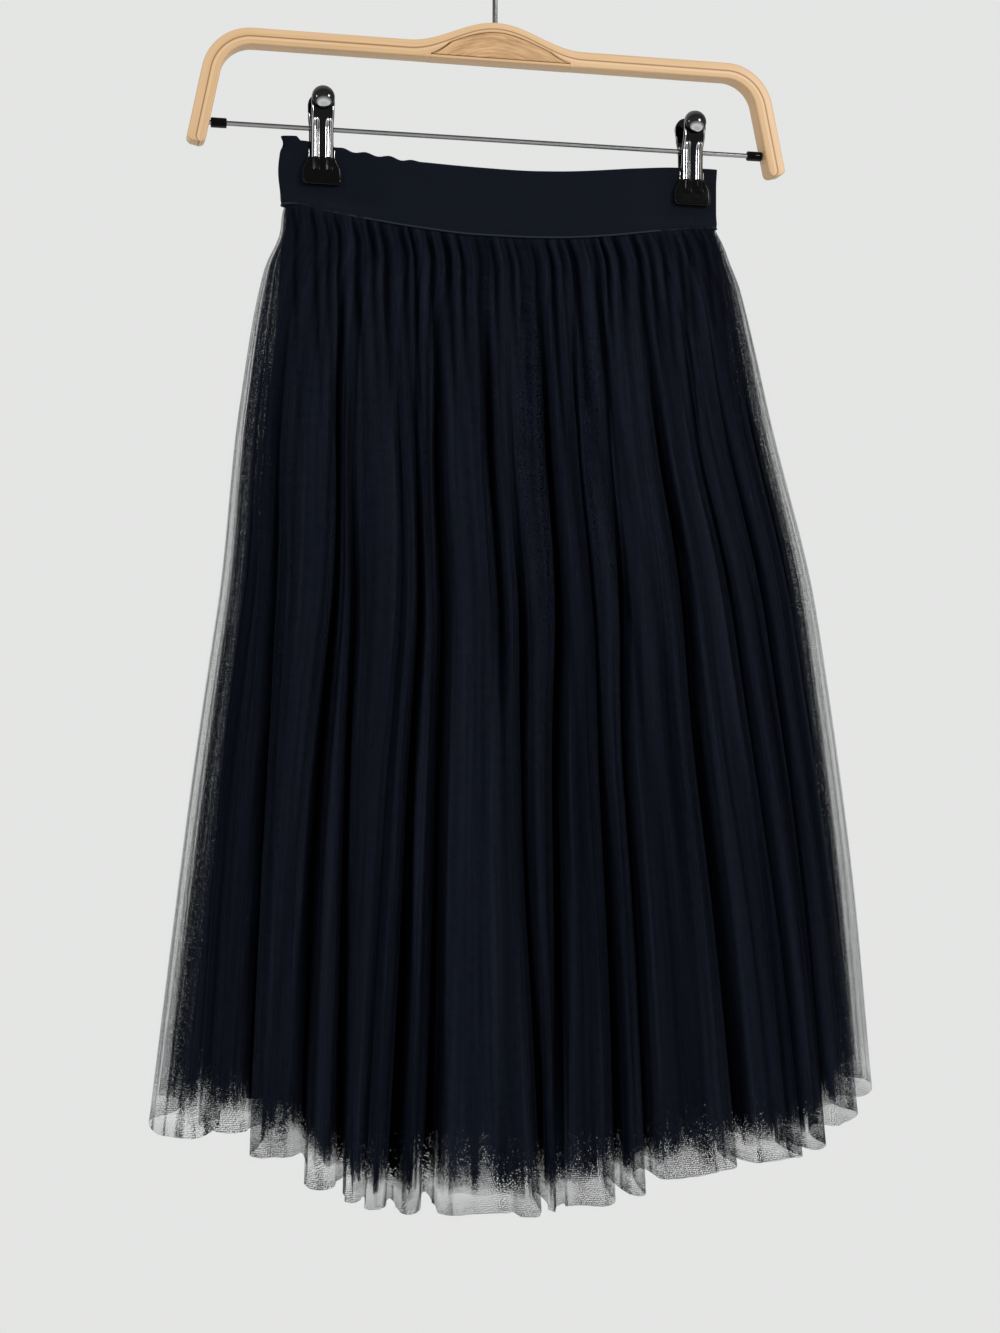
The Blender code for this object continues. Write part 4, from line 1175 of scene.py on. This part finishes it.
def lever_grid(place, side):
    """Front and back points of a sprung lever: a bent sheet with turned-back sides."""
    top, below_top = LEVER_PROFILE[0][0], LEVER_PROFILE[1][0]
    heights = np.concatenate([np.linspace(top, below_top, 8), np.linspace(-LEVER_FOOT, LEVER_FOOT, 44)])
    across = np.linspace(-1, 1, LEVER_COLUMNS)
    front, back = [], []
    for height in heights:
        above = height - PAD_HEIGHT
        wide = LEVER_HALF_WIDTH
        if above > 0:
            here = math.sqrt(max(LEVER_TOP_ROUND**2 - above**2, LEVER_LEAST_ROUND**2))
            wide = here * LEVER_HALF_WIDTH / LEVER_TOP_ROUND
        wide += LEVER_FLARE * float(step(-height, -LEVER_WAIST, -LEVER_FOOT))
        x = across * wide
        away = at_height(height, LEVER_PROFILE)
        turned = np.maximum(np.abs(x) - LEVER_BEND, 0.0) / LEVER_BEND_WIDTH
        back_by = (LEVER_BEND_DEPTH * turned**1.6) * float(step(LEVER_BEND_TOP - height, 0.0, 0.004))
        back_by = np.minimum(back_by, away - LEVER_INSIDE)
        out = away + LEVER_SHEET / 2 - back_by + rib_rise(x, height, LEVER_RIB_TOP)
        for grid, less in ((front, 0.0), (back, LEVER_SHEET)):
            grid.append(clip_row(place + x, side * (out - less), height))
    return np.array(front), np.array(back)


def jaw_grid(place, side):
    """Front and back points of a dipped jaw with soft edges, its ribs running out on it."""
    heights = np.linspace(JAW_OUTLINE[0][0], JAW_OUTLINE[-1][0], 40)
    across = np.sin(np.linspace(-0.5, 0.5, JAW_COLUMNS) * math.pi)
    inside = BAND_PINCH + GAP
    span = heights[0] - heights[-1]
    front, back = [], []
    for height in heights:
        wide = at_height(height, JAW_OUTLINE)
        x = across * wide
        edge = np.maximum(np.abs(x) - (wide - JAW_SIDE_ROUND), 0.0) / JAW_SIDE_ROUND
        end = max(0.0, 1 - (height - heights[-1]) / JAW_END_ROUND)
        begin = max(0.0, 1 - (heights[0] - height) / JAW_TOP_ROUND)
        rounded = 1 - np.sqrt(1 - 0.97 * np.clip(edge**2 + end**2 + begin**2, 0.0, 1.0))
        out = inside + JAW_THICKNESS - JAW_EDGE_DROP * rounded
        out = out - JAW_HOLLOW * math.sin(math.pi * (heights[0] - height) / span)
        out = out + rib_rise(x, height, 0.0) * JAW_RIB_SHARE
        for grid, y in ((front, out), (back, inside + JAW_EDGE_LIFT * rounded)):
            grid.append(clip_row(place + x, side * y, height))
    return np.array(front), np.array(back)


def pad_mesh(name, place, side):
    """A domed thumb pad, pressed from sheet, on the top of a lever."""
    back = LEVER_PROFILE[0][1] + LEVER_SHEET / 2 + GAP
    profile = [(0.0, PAD_RADIUS - PAD_RIM), (0.4 * PAD_RIM, PAD_RADIUS - 0.2 * PAD_RIM),
               (PAD_RIM, PAD_RADIUS)]
    for turn in np.radians(np.linspace(6, 88, 16)):
        profile.append((PAD_RIM + (PAD_RISE - PAD_RIM) * math.sin(turn), PAD_RADIUS * math.cos(turn)))
    points, sides = [], 48
    for rise, radius in profile:
        for turn in circle(sides):
            points.append((place + radius * math.cos(turn), side * (back + rise),
                           ROD_HEIGHT + PAD_HEIGHT + radius * math.sin(turn)))
    return facing_out(solid(name, points, skin_faces(len(profile), sides)))


def spring_mesh(name, place):
    turns = np.linspace(0.0, SPRING_TURNS * 2 * math.pi, SPRING_TURNS * 20)
    reach = SPRING_RADIUS - SPRING_WIRE_RADIUS
    path = np.column_stack([
        place + np.linspace(-1, 1, len(turns)) * (SPRING_HALF_LENGTH - SPRING_WIRE_RADIUS),
        reach * np.cos(turns), ROD_HEIGHT + reach * np.sin(turns)])
    return tube(name, path, SPRING_WIRE_RADIUS, 8, (True, True))


def make_clips(chrome, dome_chrome, vinyl, steel):
    for side_name, place in CLIPS.items():
        for face, side in (("front", -1), ("back", 1)):
            node = f"clip_{side_name}_{face}"
            lever = facing_out(slab(node, *lever_grid(place, side)))
            piece(node + "_lever_sheet", lever, chrome, "chrome", node + "_lever")
            piece(node + "_dome", pad_mesh(node, place, side), dome_chrome, "chrome", node + "_pad")
            jaw = facing_out(slab(node, *jaw_grid(place, side)))
            piece(node + "_dipped_jaw", jaw, vinyl, "black_vinyl", node + "_jaw")
        piece(f"clip_{side_name}_coil", spring_mesh(side_name, place), steel, "steel",
              f"clip_{side_name}_spring")


# Waistband


def between(x, start, end):
    """1 between two places, rising and falling smoothly over the stretches given."""
    return step(x, *start) * (1 - step(x, *end))


def clip_hold(x):
    """1 where a clip grips the band, falling smoothly to 0 away from it."""
    hold = np.zeros_like(x)
    for place in CLIPS.values():
        hold = np.maximum(hold, 1 - step(np.abs(x - place), CLIP_GRIP, CLIP_GRIP + BAND_RELEASE))
    return hold


def band_line(way, columns):
    """x, y round the band's outer face at one way down it."""
    half = columns // 2
    angle = math.pi * np.arange(half) / half
    across = -np.cos(angle) * (1 + 0.10 * np.sin(angle) ** 2)
    across /= np.abs(across).max()
    x = BAND_CENTRE + BAND_HALF_WIDTH * across
    outside = (x < CLIPS["left"]) | (x > CLIPS["right"])
    open_here, end_here = (float(eased(way, BAND_ROWS, sizes)) for sizes in (BAND_OPEN, BAND_END_OPEN))
    full = np.where(outside, end_here, open_here)
    grip = clip_hold(x) * (1 - (1 - SEAM_GRIP) * float(step(way, 0.7, 1.0)))
    close = np.sqrt(np.maximum(1 - np.abs(across) ** BAND_BLUNTNESS, 0.0))
    depth = (full + (BAND_PINCH - full) * grip) * close
    x_back = BAND_CENTRE - BAND_HALF_WIDTH * across
    back = np.interp(x_back, x, depth)
    return np.stack([np.concatenate([x, x_back]), np.concatenate([-depth, back])], axis=1)


def make_waistband():
    columns, rows = 480, 30
    outer, inner = [], []
    for way in np.linspace(0.0, 1.0, rows):
        line = band_line(way, columns)
        x = line[:, 0]
        top, bottom = eased(x, *zip(*BAND_TOP_EDGE)), seam_height(x)
        top = top + RUFFLE_DEPTH * between(x, RUFFLE_FROM, RUFFLE_TO) * np.sin(x * 2 * math.pi / RUFFLE_STEP)
        top = top + CORNER_BUMP * between(x, BUMP_FROM, BUMP_TO)
        roll = EDGE_ROLL * math.cos(math.pi * way) ** 8
        roll -= SEAM_DIP * math.exp(-((way - SEAM_WAY) / 0.02) ** 2)
        normals = outward_normals(line)
        dent = END_DENT * math.exp(-((way - 0.10) / 0.07) ** 2) - END_BULGE * math.sin(math.pi * way) ** 2
        line = line + normals * (-dent * step(-x, *END_START))[:, None]
        z = (top + (bottom - top) * way)[:, None]
        outer.append(np.hstack([line + normals * roll, z]))
        inner.append(np.hstack([line - normals * BAND_WALL, z]))
    loop = np.array(outer + inner[::-1])
    u = BAND_ROUND * np.arange(columns + 1) / columns
    v = np.concatenate([np.linspace(0, BAND_TALL, rows), np.linspace(0.0506, 0.0996, rows), [0.1012]])
    uv = np.stack(np.meshgrid(u, v), axis=2)
    mesh = grid_mesh("waistband_cloth", loop, uv, folded_back=True)
    made = piece("waistband_cloth", mesh, elastic_finish(), "elastic", "waistband")


# Stage and light


def make_floor():
    mesh = bpy.data.meshes.new("floor")
    body = bmesh.new()
    bmesh.ops.create_circle(body, cap_ends=True, radius=1.4, segments=96)
    body.to_mesh(mesh)
    body.free()
    floor = bpy.data.objects.new("floor", mesh)
    floor.location = (0.0, 0.0, -1.8)
    bpy.context.scene.collection.objects.link(floor)
    mesh.materials.append(plain_finish("Pale floor", (0.74, 0.74, 0.73), 0.8, grain=3.0, wear=0.03))


def area_light(name, place, size, power, color=(1.0, 1.0, 1.0), in_gloss=True):
    data = bpy.data.lights.new(name, "AREA")
    data.shape = "DISK"
    data.size = size
    data.energy = power
    data.color = color
    made = bpy.data.objects.new(name, data)
    bpy.context.scene.collection.objects.link(made)
    made.location = place
    made.visible_glossy = in_gloss
    aim = Vector((0.0, 0.0, -0.45)) - Vector(place)
    made.rotation_euler = aim.to_track_quat("-Z", "Y").to_euler()


def make_light():
    world = bpy.data.worlds.new("Studio")
    bpy.context.scene.world = world
    world.use_nodes = True
    backdrop = world.node_tree.nodes["Background"]
    backdrop.inputs["Color"].default_value = (0.775, 0.785, 0.775, 1.0)
    area_light("key", (1.3, -1.9, 0.5), 0.5, 28.0, (1.0, 0.98, 0.96))
    area_light("fill", (-1.7, -1.5, 0.2), 0.45, 12.0, (0.94, 0.97, 1.0))
    area_light("back", (0.6, 2.1, 0.6), 1.0, 16.0, in_gloss=False)


make_camera()
make_floor()
make_light()
make_waistband()
for layer_name, sizes in LAYERS.items():
    make_net(layer_name, **sizes)
make_lining()

# Finishes of the rod, clips and sleeves, with painted reflections and painted highlights; the hook's dark
# steel is plain
STEEL = painted_reflection_finish("Drawn steel", STEEL_PAINTED_REFLECTIONS, 0.22, (0.0, 0.80, 0.60))
DARK_STEEL = plain_finish("Dark steel wire", (0.10, 0.10, 0.095), 0.26, 1.0, grain=60.0, wear=0.08)
CHROME = painted_reflection_finish("Bright chrome", CHROME_PAINTED_REFLECTIONS, 0.07, (1.0, 0.0, 0.0))
DOME_CHROME = painted_reflection_finish("Domed chrome", DOME_PAINTED_REFLECTIONS, 0.09, (0.0, 0.80, 0.60))
VINYL = painted_reflection_finish("Black vinyl", VINYL_PAINTED_HIGHLIGHTS, 0.12, (0.0, 1.0, 0.0), 0.0, 0.06)
make_bow()
make_hook(DARK_STEEL)
make_rod(STEEL, VINYL)
make_clips(CHROME, DOME_CHROME, VINYL, STEEL)

bpy.context.scene.view_settings.view_transform = "Standard"
